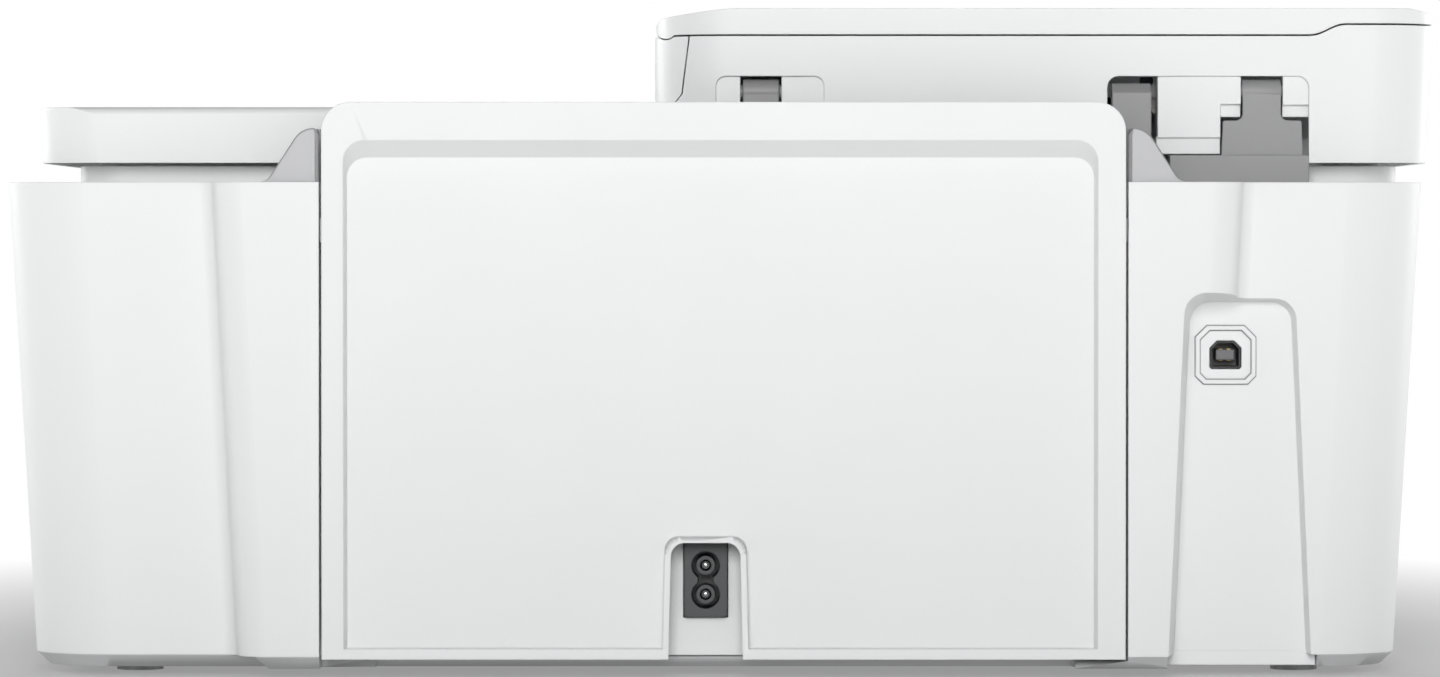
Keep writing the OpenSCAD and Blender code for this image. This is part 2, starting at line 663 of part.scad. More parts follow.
// One width guide; the rack's teeth point towards the pinion
module width_guide(up) {
  s = up ? 1 : -1;
  plate_x = well_half - 1.3;
  box(plate_x, plate_x + 1.6, well_y0 + well_wall + 0.6, rear_wall_y - 0.6, guide_z0, guide_z1);
  box(plate_x - 9, plate_x + 1.6, well_y0 + well_wall + 0.6, well_y0 + well_wall + 2.2, guide_z0, guide_z1);
  box(plate_x - 6, plate_x - 1, rack_y0, well_y0 + well_wall + 1, rack_mid_z + (up ? 2 : -11), rack_mid_z + (up ? 11 : -2));
  translate([0, 0, rack_mid_z + s * pinion_r]) mirror([0, 0, up ? 1 : 0])
    along_y(rack_y0, rack_y1) rack_2d(-9, plate_x - 5, gear_m);
}

module paper_guide_left() color([0.55, 0.56, 0.58]) width_guide(true);
module paper_guide_right() color([0.55, 0.56, 0.58]) mirror([1, 0, 0]) width_guide(false);

module guide_pinion() color([0.9, 0.9, 0.88]) translate([0, 0, rack_mid_z]) {
  along_y(rack_y0, rack_y1) difference() {
    rotate(90) gear_2d(pinion_teeth, gear_m);
    circle(2.05);
  }
}

// ---------- input tray ----------

module tray_outline(grow) {
  outline(-tray_half - grow, tray_half + grow, tray_z0 - grow, tray_z1 + grow, tray_corner_r + grow);
  translate([-tray_half - grow, tray_z0 - grow]) square([2 * (tray_half + grow), 20]);
}

// Inlet notch in X and Z, a little wider at its foot
module notch_2d(grow) {
  flare = 0.9;
  r = 4;
  x = notch_half + grow;
  translate([inlet_x, 0]) {
    polygon([[-x - flare, -1], [x + flare, -1], [x, notch_z - r], [-x, notch_z - r]]);
    translate([0, notch_z + grow - r - 2]) square([2 * x, 4], center = true);
    translate([-x + r, notch_z - r - 4]) square([2 * x - 2 * r, grow + r + 4]);
    for (s = [-1, 1]) translate([s * (x - r), notch_z + grow - r]) circle(r);
  }
}

module recess_2d(grow, top) {
  r = 6;
  x = recess_half + grow;
  difference() {
    union() {
      outline(-x, x, recess_z0 - grow, top + grow, r);
      translate([-x, recess_z0 - grow]) square([2 * x, r + 1]);
    }
    notch_2d(2 - grow);
  }
}

module input_tray() color([0.93, 0.94, 0.94]) {
  y1 = tray_rear_y;
  y0 = tray_rear_y - tray_depth;
  w = tray_wall;
  floor_y = y1 - recess_depth;
  lip_z = recess_z1 - recess_slope;
  difference() {
    union() {
      difference() {
        along_y(y0, y1) tray_outline(0);
        along_y(y0 - 1, y1 - w) tray_outline(-w);
      }
      along_y(floor_y - w, y1 - w + 0.5) recess_2d(w, recess_z1);
      along_y(y0 + 0.6, y1 - w + 0.5) intersection() {
        notch_2d(2);
        tray_outline(0);
      }
    }
    along_y(floor_y, y1 + 1) recess_2d(0, lip_z);
    // sloped wall along the recess's top
    intersection() {
      along_y(floor_y, y1 + 1) recess_2d(0, recess_z1);
      along_x(-recess_half - 1, recess_half + 1)
        polygon([[floor_y, lip_z - 8], [floor_y, lip_z], [y1, recess_z1], [y1 + 2, recess_z1], [y1 + 2, lip_z - 8]]);
    }
    along_y(y0 - 1, y1 + 1) notch_2d(0);
    for (s = [-1, 1]) mirror([s < 0 ? 1 : 0, 0, 0])
      rod_x(tray_half - w - 1, tray_half - 0.5, tray_pin_y, tray_pin_z, tray_pin_r + run);
  }
  // guide nubs on the tray's edges
  for (s = [-1, 1]) mirror([s < 0 ? 1 : 0, 0, 0])
    box(tray_half - 0.5, tray_half + 0.6, y0 + 2, y1 - 3, tray_z1 - 41.1, tray_z1 - 34.1);
}

tray_pin_y = tray_rear_y - tray_wall - 2.7;
slider_top = 76;
slider_y0 = rear_wall_y + body_wall + 0.4;
slider_y1 = tray_rear_y - recess_depth - tray_wall - 0.4;

module tray_slider() color([0.85, 0.86, 0.86]) {
  for (s = [-1, 1]) mirror([s < 0 ? 1 : 0, 0, 0]) {
    box(slider_x0, slider_x0 + slider_w, slider_y0, slider_y1, tray_pin_z - 1.2, slider_top);
    along_x(slider_x0, slider_x0 + slider_w) {
      translate([tray_pin_y, tray_pin_z]) circle(2.4);
      translate([slider_y0, tray_pin_z - 1.2]) square([tray_pin_y - slider_y0, 3.6]);
    }
    rod_x(slider_x0 + 1, tray_half - 0.6, tray_pin_y, tray_pin_z, tray_pin_r);
  }
  box(-slider_x0 - 1, slider_x0 + 1, rail_y1 + 0.3, slider_y1, slider_top - 10, slider_top);
}

// ---------- power and data ----------

inlet_face_y = 154.6;

// Two joined rounds, the hollow of the inlet
module figure_eight(r) {
  for (s = [-1, 1]) translate([0, s * pin_pitch / 2]) circle(r);
  square([r * 1.1, pin_pitch], center = true);
}

module power_inlet() color([0.28, 0.29, 0.30]) difference() {
  union() {
    at_inlet(inlet_face_y - 17, inlet_face_y) translate([-inlet_w / 2, -inlet_h / 2]) outline(0, inlet_w, 0, inlet_h, 1.2);
    at_inlet(rear_wall_y - 2, rear_wall_y) translate([-inlet_w / 2 - 2, -inlet_h / 2 - 1]) square([inlet_w + 4, inlet_h + 2]);
  }
  at_inlet(inlet_face_y - 12, inlet_face_y + 1) difference() {
    figure_eight(4.15);
    for (s = [-1, 1]) translate([0, s * pin_pitch / 2]) circle(2.85);
  }
  at_inlet(inlet_face_y - 1.2, inlet_face_y + 1) for (s = [-1, 1]) translate([0, s * pin_pitch / 2]) circle(2.9);
  at_inlet(inlet_face_y - 11, inlet_face_y + 1) for (s = [-1, 1]) translate([0, s * pin_pitch / 2]) circle(1.65);
  at_inlet(inlet_face_y - 18, inlet_face_y) for (s = [-1, 1]) translate([0, s * pin_pitch / 2]) circle(pin_r + 0.02);
}

psu_x0 = -48;
psu_x1 = 58;
psu_z1 = 38;
module power_supply() color([0.25, 0.25, 0.27]) {
  // case with a cable-side notch, held on the pan
  difference() {
    box(psu_x0, psu_x1, 76, inlet_face_y - 17.4, pan_z + 2.2, psu_z1);
    box(psu_x0 + 2, psu_x1 - 2, 78, 135, pan_z + 4.2, psu_z1 - 2);
    for (i = [0 : 7]) box(psu_x0 + 10 + i * 11, psu_x0 + 16 + i * 11, 84, 126, psu_z1 - 3, psu_z1 + 1);
  }
  // contact pins that stand in the inlet
  for (s = [-1, 1]) translate([0, 0, s * pin_pitch / 2]) rod_y(inlet_face_y - 17.4, inlet_face_y - 2.4, inlet_x, inlet_z, pin_r);
}

usb_depth = 16;
module usb_port() color([0.09, 0.09, 0.10]) {
  difference() {
    at_usb(niche_y - usb_depth, niche_y) port_outline(usb_w, usb_h, 2, 0.4);
    at_usb(niche_y - 9, niche_y + 1) port_outline(usb_w - 1.2, usb_h - 1.2, 1.7, 0.3);
  }
  at_usb(niche_y - 10, niche_y - 1.2) square([5.4, 3.0], center = true);
}

board_x = usb_x - usb_w / 2 - 0.2;
module main_board() color([0.10, 0.35, 0.22]) {
  box(board_x - 1.6, board_x, 101, niche_y - 4, 62, 118);
  // processor, ribbon sockets and capacitors
  box(board_x, board_x + 2.2, 106, 122, 72, 88);
  for (z = [104, 111]) box(board_x, board_x + 5, 103, 126, z, z + 4.5);
  for (y = [108, 117]) rod_x(board_x, board_x + 8, y, 96, 3);
}

// ---------- print engine ----------

rod_y_pos = 22;
rod_z = 88;
plate_x0 = -186;
plate_x1 = 190;
output_y = feed_y - gear_m * (feed_teeth + 2 * idler_teeth + output_teeth) / 2;
idler_y = feed_y - gear_m * (feed_teeth + idler_teeth) / 2;
output_r = 5;
shaft_r = 2.5;
gear_x0 = plate_x0 - 7;
gear_w = 5;
pickup_y = 126.8;
pickup_z = 59;
pickup_r = 11.5;

module print_frame() color([0.66, 0.67, 0.68]) difference() {
  union() {
    for (x = [plate_x0, plate_x1]) box(x, x + 2, -42, 74, pan_z + 2.2, 112);
    box(plate_x0 + 1, plate_x1 + 1, 72, 74, 70, 112);
    box(plate_x0 + 1, plate_x1 + 1, 66, 74, 68, 70);
    // stands for the pickup shaft
    for (x = [-34, 32]) {
      box(x, x + 2, 72.5, pickup_y + 5, 56, 66);
      box(x, x + 2, 72.5, 80, 56, 70);
    }
  }
  for (x = [plate_x0, plate_x1]) {
    rod_x(x - 1, x + 3, rod_y_pos, rod_z, rod_r);
    for (y = [feed_y, output_y]) rod_x(x - 1, x + 3, y, feed_z, shaft_r + run);
    for (y = [62, -30]) rod_x(x - 1, x + 3, y, 20, 6);
  }
  rod_x(plate_x0 - 1, plate_x0 + 3, idler_y, feed_z, 1.8);
  for (x = [-34, 32]) rod_x(x - 1, x + 3, pickup_y, pickup_z, shaft_r + run);
  for (x = [-136 : 60 : 150]) box(x, x + 36, 71, 75, 78, 100);
  rod_y(70, 76, motor_x, belt_z, 2.2);
}

module carriage_rod() color([0.78, 0.79, 0.80]) rod_x(plate_x0 - 1.5, plate_x1 + 3.5, rod_y_pos, rod_z, rod_r);

belt_y = 64;
belt_z = 92;
belt_r = 7;
motor_x = -150;
idle_x = 172;
module carriage_belt() color([0.12, 0.12, 0.12]) along_y(belt_y - 2.5, belt_y + 2.5) translate([0, belt_z]) {
  difference() {
    union() {
      for (x = [motor_x, idle_x]) translate([x, 0]) circle(belt_r + 1.2);
      translate([motor_x, -belt_r - 1.2]) square([idle_x - motor_x, 2 * belt_r + 2.4]);
    }
    for (x = [motor_x, idle_x]) translate([x, 0]) circle(belt_r);
    translate([motor_x, -belt_r]) square([idle_x - motor_x, 2 * belt_r]);
  }
}

module carriage_motor() color([0.45, 0.46, 0.48]) {
  rod_y(74, 98, motor_x, belt_z, 13);
  rod_y(belt_y - 3, 74, motor_x, belt_z, 1.6);
  rod_y(belt_y - 2.4, belt_y + 2.4, motor_x, belt_z, belt_r);
  rod_y(belt_y - 2.4, belt_y + 2.4, idle_x, belt_z, belt_r);
  rod_y(belt_y - 3, 72, idle_x, belt_z, 1.6);
}

module platen() color([0.16, 0.16, 0.17]) {
  difference() {
    union() {
      box(plate_x0 + 8, plate_x1 - 6, output_y + 8, feed_y - 9, 30, 42);
      for (i = [0 : 15]) box(-118 + i * 15.4, -116.4 + i * 15.4, output_y + 8, feed_y - 9, 41, feed_z + 3);
    }
    box(plate_x0 + 10, plate_x1 - 8, output_y + 10, feed_y - 11, 29, 40);
    box(118, plate_x1 - 4, output_y + 6, 26, 29, 50);
  }
  // legs on the pan
  for (x = [-140, 0, 106]) box(x - 4, x + 4, -2, 14, pan_z + 2.2, 41);
}

module service_station() color([0.3, 0.3, 0.32]) {
  difference() {
    box(124, 178, -12, 16, pan_z + 2.2, 46);
    box(127, 175, -9, 13, 14, 50);
  }
  for (x = [133, 155]) difference() {
    box(x, x + 16, -6, 10, 13, 49);
    box(x + 2, x + 14, -4, 8, 46, 52);
  }
}

carriage_x = 116;
carriage_w = 66;
module print_carriage() color([0.13, 0.13, 0.14]) {
  x0 = carriage_x;
  x1 = carriage_x + carriage_w;
  z0 = 53;
  difference() {
    union() {
      box(x0, x1, -36, 32, z0, 76);
      box(x0, x1, 12, 32, z0, 100);
      box(x0 + 20, x0 + 44, 30, belt_y + 3.6, belt_z - 5, belt_z - 1.5);
      box(x0 + 24, x0 + 40, belt_y - 3.6, belt_y + 3.6, belt_z - 6, belt_z - 1.5);
    }
    rod_x(x0 - 1, x1 + 1, rod_y_pos, rod_z, rod_r + run);
    for (x = [x0 + 2, x0 + 34]) {
      box(x, x + 30, -34, 10, z0 + 3, 80);
      box(x + 6, x + 24, -10, 8, z0 - 1, z0 + 4);
    }
    box(x0 + 23, x0 + 41, belt_y - 2.8, belt_y + 2.8, belt_z - belt_r - 1.6, belt_z - belt_r + 0.4);
  }
  // ears for the latches
  for (x = [x0 + 2, x0 + 34]) for (dx = [0.2, 27.8])
    along_x(x + dx, x + dx + 2) difference() {
      polygon([[-36, 74], [-28, 74], [-29, 84], [-34, 84]]);
      translate([latch_y, latch_z]) circle(1 + run);
    }
}

module cartridge(x) difference() {
  union() {
    box(x + 3, x + 27, -26, 9, 56.15, 96);
    box(x + 7, x + 23, -8, 6, 54, 58);
  }
  box(x + 2, x + 28, -27, -18, 86, 97);
  box(x + 6, x + 24, 0, 6, 94, 97);
}

module black_cartridge() color([0.10, 0.10, 0.11]) cartridge(carriage_x + 2);
module colour_cartridge() color([0.16, 0.18, 0.24]) cartridge(carriage_x + 34);

latch_y = -31.6;
latch_z = 81;
module latch(x) {
  difference() {
    union() {
      along_x(x + 2.6, x + 27.4) {
        translate([latch_y, latch_z]) circle(2);
        polygon([[latch_y - 2, latch_z], [latch_y + 2, latch_z], [latch_y + 3.4, 100], [latch_y + 1.4, 100]]);
        polygon([[latch_y + 1.6, 97.6], [latch_y + 3.4, 100], [-16, 100], [-16, 97.6]]);
      }
      rod_x(x + 0.6, x + 29.4, latch_y, latch_z, 1);
    }
    box(x + 9, x + 21, latch_y - 4, -20, 86, 94);
  }
}

module black_latch() color([0.20, 0.21, 0.22]) latch(carriage_x + 2);
module colour_latch() color([0.20, 0.21, 0.22]) latch(carriage_x + 34);

module feed_roller() color([0.22, 0.22, 0.23]) {
  rod_x(gear_x0 - 1.5, plate_x1 + 3, feed_y, feed_z, shaft_r);
  for (x = [-112 : 32 : 112]) rod_x(x - 11, x + 11, feed_y, feed_z, feed_r);
}

module output_roller() color([0.22, 0.22, 0.23]) {
  rod_x(gear_x0 - 1.5, plate_x1 + 3, output_y, feed_z, shaft_r);
  for (x = [-104 : 26 : 104]) rod_x(x - 4, x + 4, output_y, feed_z, output_r);
}

module wheel_gear(teeth, y, turn, bore) translate([gear_x0, y, feed_z]) rotate([90, 0, 90])
  linear_extrude(gear_w) difference() {
    rotate(turn) gear_2d(teeth, gear_m);
    circle(bore);
    for (a = [0 : 72 : 359]) rotate(a) translate([teeth * gear_m * 0.3, 0]) circle(teeth * gear_m * 0.09);
  }

module feed_gear() color([0.88, 0.88, 0.86]) wheel_gear(feed_teeth, feed_y, 0, shaft_r);
module output_gear() color([0.88, 0.88, 0.86]) wheel_gear(output_teeth, output_y, 0, shaft_r);
module idler_gear() color([0.88, 0.88, 0.86]) {
  wheel_gear(idler_teeth, idler_y, 180 / idler_teeth, 1.5);
  rod_x(gear_x0 - 1, plate_x0 + 2.5, idler_y, feed_z, 1.7);
}

module pickup_roller() color([0.25, 0.25, 0.26]) {
  rod_x(-38, 40, pickup_y, pickup_z, shaft_r);
  rod_x(-21, 21, pickup_y, pickup_z, pickup_r);
}

pinch_r = 3.5;
pinch_z = feed_z + feed_r + pinch_r + 0.15;
module pinch_rollers() color([0.8, 0.8, 0.78]) {
  for (x = [-112 : 64 : 112]) rod_x(x - 9, x + 9, feed_y, pinch_z, pinch_r);
  rod_x(plate_x0 + 3, plate_x1 - 1, feed_y, pinch_z, 1.2);
}

// ---------- lid hinge ----------

arm_y0 = 122;
arm_y1 = 129.2;
module knuckle_arm(x0, x1) {
  along_x(x0, x1) {
    translate([hinge_y, hinge_z]) circle(knuckle_r);
    translate([arm_y0, deck_z]) square([arm_y1 - arm_y0, hinge_z - deck_z - 2]);
    translate([hinge_y - knuckle_r + 0.1, hinge_z - 6]) square([2 * knuckle_r - 0.2, 6]);
  }
  rod_x(x0 - 3.4, x1 + 3.4, hinge_y, hinge_z, hinge_pin_r);
}

left_arm = [-16.6, -5.8];
right_arm = [-167, -155.6];
module hinge_arm_left() color([0.58, 0.58, 0.59]) {
  knuckle_arm(left_arm[0], left_arm[1]);
  box(left_arm[0] - 5, left_arm[1] + 5, neck_y1 + 0.4, arm_y1 + 2, deck_z, deck_z + 2.6);
}

module hinge_arm_right() color([0.58, 0.58, 0.59]) {
  knuckle_arm(right_arm[0], right_arm[1]);
  r = 3;
  along_y(arm_y0, arm_y1) difference() {
    union() {
      translate([-173.3, deck_z]) square([24, 16.2]);
      translate([-173.3 + r, deck_z]) square([24 - 2 * r, 19.2]);
      for (x = [-173.3 + r, -149.3 - r]) translate([x, deck_z + 16.2]) circle(r);
    }
  }
  box(-175.2, -133.7, neck_y1 + 0.4, arm_y1 + 1.6, deck_z, deck_z + 8.3);
}

cover_wall = 1.8;
module cable_cover() color([0.62, 0.62, 0.63]) {
  y0 = neck_y1 + 0.6;
  y1 = lid_rear_y - 0.6;
  step_y = neck_y1 + 2.4;
  top = window_z - 2.1;
  along_x(-128.2, -116.4) difference() {
    polygon([[y0, deck_z], [y1, deck_z], [y1, top - 2.9], [y1 - 3, top], [step_y, top],
             [step_y, bed_z - 0.2], [y0, bed_z - 2.2]]);
    polygon([[y0 + cover_wall, deck_z - 1], [y1 - cover_wall, deck_z - 1], [y1 - cover_wall, top - 3.7],
             [step_y + cover_wall, top - 3.7], [step_y + cover_wall, bed_z - 1.2], [y0 + cover_wall, bed_z - 3.8]]);
  }
}

// ---------- lid ----------

lid_in_z = bed_z + 0.4;
feeder_rise = 3.3;
rise_x0 = -175.7;
rise_x1 = -186.2;
end_r = 22;
flap_gap = 0.5;
flap_axis_x = feeder_x - 3.5;
flap_axis_z = seam_z + 2.6;
flap_r = 3.2;
rear_top_z = top_z - 1.3;
feeder_right_x = lid_right_x - (top_z - seam_z) * tan(lid_lean);
slab_right_x = lid_right_x - (top_z - slab_z) * tan(lid_lean);
seam_x = [10.1, 12.3];

// Height of the seam under the document flap; it rises near the -X end for a finger grip
function seam_at(x) = x > rise_x0 ? seam_z : x < rise_x1 ? seam_z + feeder_rise :
  seam_z + feeder_rise * (1 - cos(180 * (x - rise_x0) / (rise_x1 - rise_x0))) / 2;
seam_line = concat([[big, seam_z]], [for (i = [0 : 8]) let (x = rise_x0 + i / 8 * (rise_x1 - rise_x0)) [x, seam_at(x)]],
                   [[-big, seam_z + feeder_rise]]);

// Crown of the document flap, falling towards both ends
function crown(x) = top_z - (x > -30 ? 0.0017 * (x + 30) * (x + 30) : x < -190 ? 0.0052 * (x + 190) * (x + 190) : 0);
// Fall of the flap towards the front and rear edges
function crown_y(y) = top_z - (top_z - rear_top_z) * pow(abs(y - 1) / 129, 4);

module slab_block(w) {
  top = slab_z - w;
  intersection() {
    leaning_block(-slab_right_x + w, lid_left_x - w, -lid_front_y + w, lid_rear_y - w,
                  w > 0 ? skirt_z - 1 : skirt_z, top, lid_corner_r - w, lid_lean);
    along_y(-big, big) outline(-big, lid_left_x - w, 100, top, 2.2);
    along_x(-big, big) outline(-lid_front_y + w, lid_rear_y - w, 100, top, 2.2);
  }
}

// Feeder housing from the skirt up to z1
module feeder_block(w, z1) {
  intersection() {
    translate([-feeder_right_x + w, 0, seam_z]) rotate([0, -lid_lean, 0])
      translate([feeder_right_x - w, 0, skirt_z - seam_z - reach]) linear_extrude(z1 - skirt_z + 2 * reach)
        outline(-feeder_right_x + w, big, -lid_front_y + w, lid_rear_y - w, lid_corner_r - w);
    linear_extrude(big) outline(-big, feeder_x - w, -lid_front_y + w, lid_rear_y - w, end_r - w);
    box(-big, big, -lid_front_y, lid_rear_y, w > 0 ? skirt_z - 1 : skirt_z, z1);
  }
}

module below_seam(drop) along_y(-big, big)
  polygon(concat([for (p = seam_line) [p[0], p[1] - drop]], [[-big, 0], [big, 0]]));

// Part of the feeder that the end cover takes, in X and Z
module end_region(gap) polygon([[seam_x[0] + gap, big], [seam_x[0] + gap, seam_z], [seam_x[1] + gap, slab_z + 4],
  [seam_x[1] + gap + 3, slab_z + 0.3], [feeder_x + 5, slab_z + 0.3], [feeder_x + 5, big]]);

windows = [[-30.1, 2.3, 3], [-175.3, -114.9, 3.5]];
shield_x = [-148.9, -130.1];
deck_open = [-150, 6, -108, 101];

module window_2d(w) {
  r = w[2];
  translate([w[0], deck_z]) square([w[1] - w[0], window_z - r - deck_z]);
  translate([w[0] + r, deck_z]) square([w[1] - w[0] - 2 * r, window_z - deck_z]);
  for (x = [w[0] + r, w[1] - r]) translate([x, window_z - r]) circle(r);
}

// Bearing block on the lid beside a hinge arm, set back inside its window
window_step = 1.2;
module bearing(x0, x1, z0) box(x0, x1, hinge_y - 6.1, lid_rear_y - window_step, z0, window_z + 1);
// Lower foot of a bearing block, set back further
module bearing_foot(x0, x1) box(x0, x1, hinge_y - 6.1, lid_rear_y - 3, hinge_z - 7.6, hinge_z - 3);

module lid() color([0.93, 0.94, 0.94]) difference() {
  w = lid_wall;
  union() {
    difference() {
      union() {
        slab_block(0);
        difference() {
          intersection() {
            feeder_block(0, seam_z + feeder_rise);
            below_seam(0);
          }
          along_y(-big, big) end_region(-0.0);
        }
      }
      difference() {
        union() {
          slab_block(w);
          difference() {
            intersection() {
              feeder_block(w, seam_z - w);
              below_seam(w);
            }
            along_y(-big, big) end_region(-w);
          }
        }
        // roof over the bearings
        for (v = windows) box(v[0] - 2, v[1] + 2, hinge_y - 8, lid_rear_y, window_z, window_z + 2);
      }
      for (v = windows) along_y(hinge_y - 9, lid_rear_y + 1) window_2d(v);
      box(deck_open[0], deck_open[1], deck_open[2], deck_open[3], seam_z - w - 1, seam_z + 1);
    }
    bearing(left_arm[1] + 0.8, windows[0][1] + 1, hinge_z - 4);
    bearing(windows[0][0] - 1, left_arm[0] - 0.8, hinge_z - 4);
    bearing(right_arm[1] + 0.6, shield_x[0] + 1, hinge_z - 3.8);
    bearing(shield_x[0], shield_x[1], bed_z - 0.2);
    bearing(windows[1][0] - 1, right_arm[0] - 0.6, hinge_z - 4);
    bearing_foot(right_arm[1] + 0.6, shield_x[0] + 1);
    bearing_foot(windows[1][0] - 1, right_arm[0] - 0.6);
    // ledge below the shield between the hinge arm and the cable cover
    box(shield_x[0], shield_x[1] + 0.3, hinge_y - 4.4, hinge_y + 1.8, hinge_z - 18.7, bed_z + 0.3);
    // plates that carry the feeder's spindles
    for (y = [feeder_y0 - 10.6, feeder_y1 + 7.6])
      box(separation_x - 6, exit_x + 6, y, y + 2, roller_z - 5, seam_z - w + 0.5);
    // ribs that carry the document pad
    for (x = [-100, -40, 60, 120]) box(x, x + 2, -118, 96, lid_in_z + 1.9, slab_z - w + 0.5);
    for (x = [-100, -40]) box(x, x + 2, -118, 96, lid_in_z + 1.9, slab_z - 1);
  }
  for (a = [left_arm, right_arm])
    rod_x(a[0] - 4, a[1] + 4, hinge_y, hinge_z, hinge_pin_r + run);
  for (x = [roller_x, separation_x, exit_x])
    rod_y(feeder_y0 - 11, feeder_y1 + 11, x, roller_z, 2 + run);
}

module feeder_end_cover() color([0.92, 0.93, 0.93]) difference() {
  w = lid_wall;
  intersection() {
    difference() {
      feeder_block(0, seam_z);
      feeder_block(w, seam_z - w);
    }
    along_y(-big, big) end_region(0.35);
    box(0, 100, -lid_front_y, lid_rear_y, slab_z, seam_z);
  }
  rod_y(-lid_front_y - 1, lid_rear_y + 1, flap_axis_x, flap_axis_z, flap_r + fit);
  // slot that the documents come out of
  box(feeder_x - w - 1, feeder_x + 1, -106, 108, slab_z + 2, slab_z + 9);
  // flap's hinge pins
  for (y = hinge_tabs) rod_y(y - 4.3, y + 4.3, flap_axis_x, flap_axis_z, flap_r + fit);
}

hinge_tabs = [-70, 72];
module document_flap() color([0.93, 0.94, 0.94]) difference() {
  w = lid_wall;
  tops = [for (i = [0 : 8]) let (x = flap_axis_x - i * 6) [x, crown(x)]];
  ends = [for (i = [0 : 6]) let (x = -190 - i * 4.2) [x, crown(x)]];
  union() {
    intersection() {
      translate([-feeder_right_x, 0, seam_z]) rotate([0, -lid_lean, 0])
        translate([feeder_right_x, 0, -reach]) linear_extrude(2 * reach)
          outline(-feeder_right_x, big, -lid_front_y, lid_rear_y, lid_corner_r);
      linear_extrude(big) outline(-big, feeder_x - 0.3, -lid_front_y, lid_rear_y, end_r);
      along_y(-lid_front_y, lid_rear_y) union() {
        difference() {
          polygon(concat([[flap_axis_x, seam_z + flap_gap]], tops, ends, [[-big, seam_z]], [[flap_axis_x, seam_z]]));
          polygon(concat([for (p = seam_line) [p[0], p[1] + flap_gap]], [[-big, 0], [big, 0]]));
        }
        translate([flap_axis_x, flap_axis_z]) circle(flap_r);
      }
      along_x(-big, big) polygon(concat([for (i = [0 : 12]) let (y = -lid_front_y + i * (lid_rear_y + lid_front_y) / 12) [y, crown_y(y)]],
        [[lid_rear_y, seam_z - 1], [-lid_front_y, seam_z - 1]]));
    }
  }
  // hollow underside with a rim all round
  difference() {
    linear_extrude(top_z - 2.6) translate([0, 0]) outline(-204, 4, -lid_front_y + w + 2, lid_rear_y - w - 2, 12);
    for (x = [-160, -110, -60]) box(x, x + 1.6, -big, big, seam_z + 4, top_z);
  }
}

feeder_y0 = -100;
feeder_y1 = 101;
roller_x = -128;
feeder_m = 0.8;
feeder_teeth = 24;
separation_teeth = 20;
separation_x = roller_x - feeder_m * (feeder_teeth + separation_teeth) / 2;
roller_z = seam_z - 12.9;
roller_r = 10.5;
separation_r = 6;
exit_x = -60;

module feeder_deck() color([0.30, 0.31, 0.32]) difference() {
  d = deck_open;
  union() {
    box(d[0] + 0.3, d[1] - 0.3, d[2] + 0.3, d[3] - 0.3, seam_z - 4.2, seam_z - 2);
    for (y = [d[2] + 0.3, d[3] - 2.3]) box(d[0] + 0.3, d[1] - 0.3, y, y + 2, seam_z - 4.2, seam_z - 0.4);
    box(d[0] + 0.3, d[0] + 34, d[2] + 0.3, d[3] - 0.3, seam_z - 4.2, seam_z - 0.4);
    // fins that lift the documents off the deck
    for (i = [0 : 8]) box(-108, 2, -84 + i * 21, -82.8 + i * 21, seam_z - 2.1, seam_z - 1);
  }
  box(roller_x - roller_r - 2, roller_x + roller_r + 2, -32, 34, seam_z - 5, seam_z + 1);
  // slots that the document guides slide in
  for (s = [-1, 1]) box(-52, -46, s > 0 ? 36 : -105, s > 0 ? 98 : -43, seam_z - 5, seam_z);
}

module document_pad() color([0.96, 0.96, 0.96])
  translate([0, 0, lid_in_z]) linear_extrude(1.6) outline(glass_x0 + 3, glass_x1 - 3, glass_y0 + 3, glass_y1 - 3, 4);

module spindle(x, r, grips) {
  rod_y(feeder_y0 - 10, feeder_y1 + 10, x, roller_z, 2);
  for (y = grips) rod_y(y - 8, y + 8, x, roller_z, r);
}

module feeder_roller() color([0.25, 0.25, 0.26]) spindle(roller_x, roller_r, [-20, 22]);
module separation_roller() color([0.32, 0.32, 0.33]) spindle(separation_x, separation_r, [-60, 1, 62]);
module exit_roller() color([0.28, 0.28, 0.29]) spindle(exit_x, 4.5, [-70, -24, 26, 72]);

module feeder_wheel(x, teeth, turn) along_y(feeder_y1 + 2, feeder_y1 + 6) translate([x, roller_z]) difference() {
  rotate(turn) gear_2d(teeth, feeder_m);
  circle(2);
}
module feeder_gear() color([0.88, 0.88, 0.86]) feeder_wheel(roller_x, feeder_teeth, 0);
module separation_gear() color([0.88, 0.88, 0.86]) feeder_wheel(separation_x, separation_teeth, 180 / separation_teeth);

module document_guide(s) {
  y = s > 0 ? 97.4 : -104.4;
  box(-76, -20, y - 0.8, y + 0.8, seam_z - 0.8, seam_z + 3.4);
  box(-76, -20, s > 0 ? y - 5 : y - 0.8, s > 0 ? y + 0.8 : y + 5, seam_z - 0.8, seam_z + 0.2);
  box(-51.6, -46.4, s > 0 ? y - 5 : y + 1, s > 0 ? y - 1 : y + 5, seam_z - 5.6, seam_z);
  box(-54, -44, s > 0 ? y - 5 : y + 1, s > 0 ? y - 1 : y + 5, seam_z - 5.6, seam_z - 4.5);
}
module document_guide_rear() color([0.55, 0.56, 0.58]) document_guide(1);
module document_guide_front() color([0.55, 0.56, 0.58]) document_guide(-1);

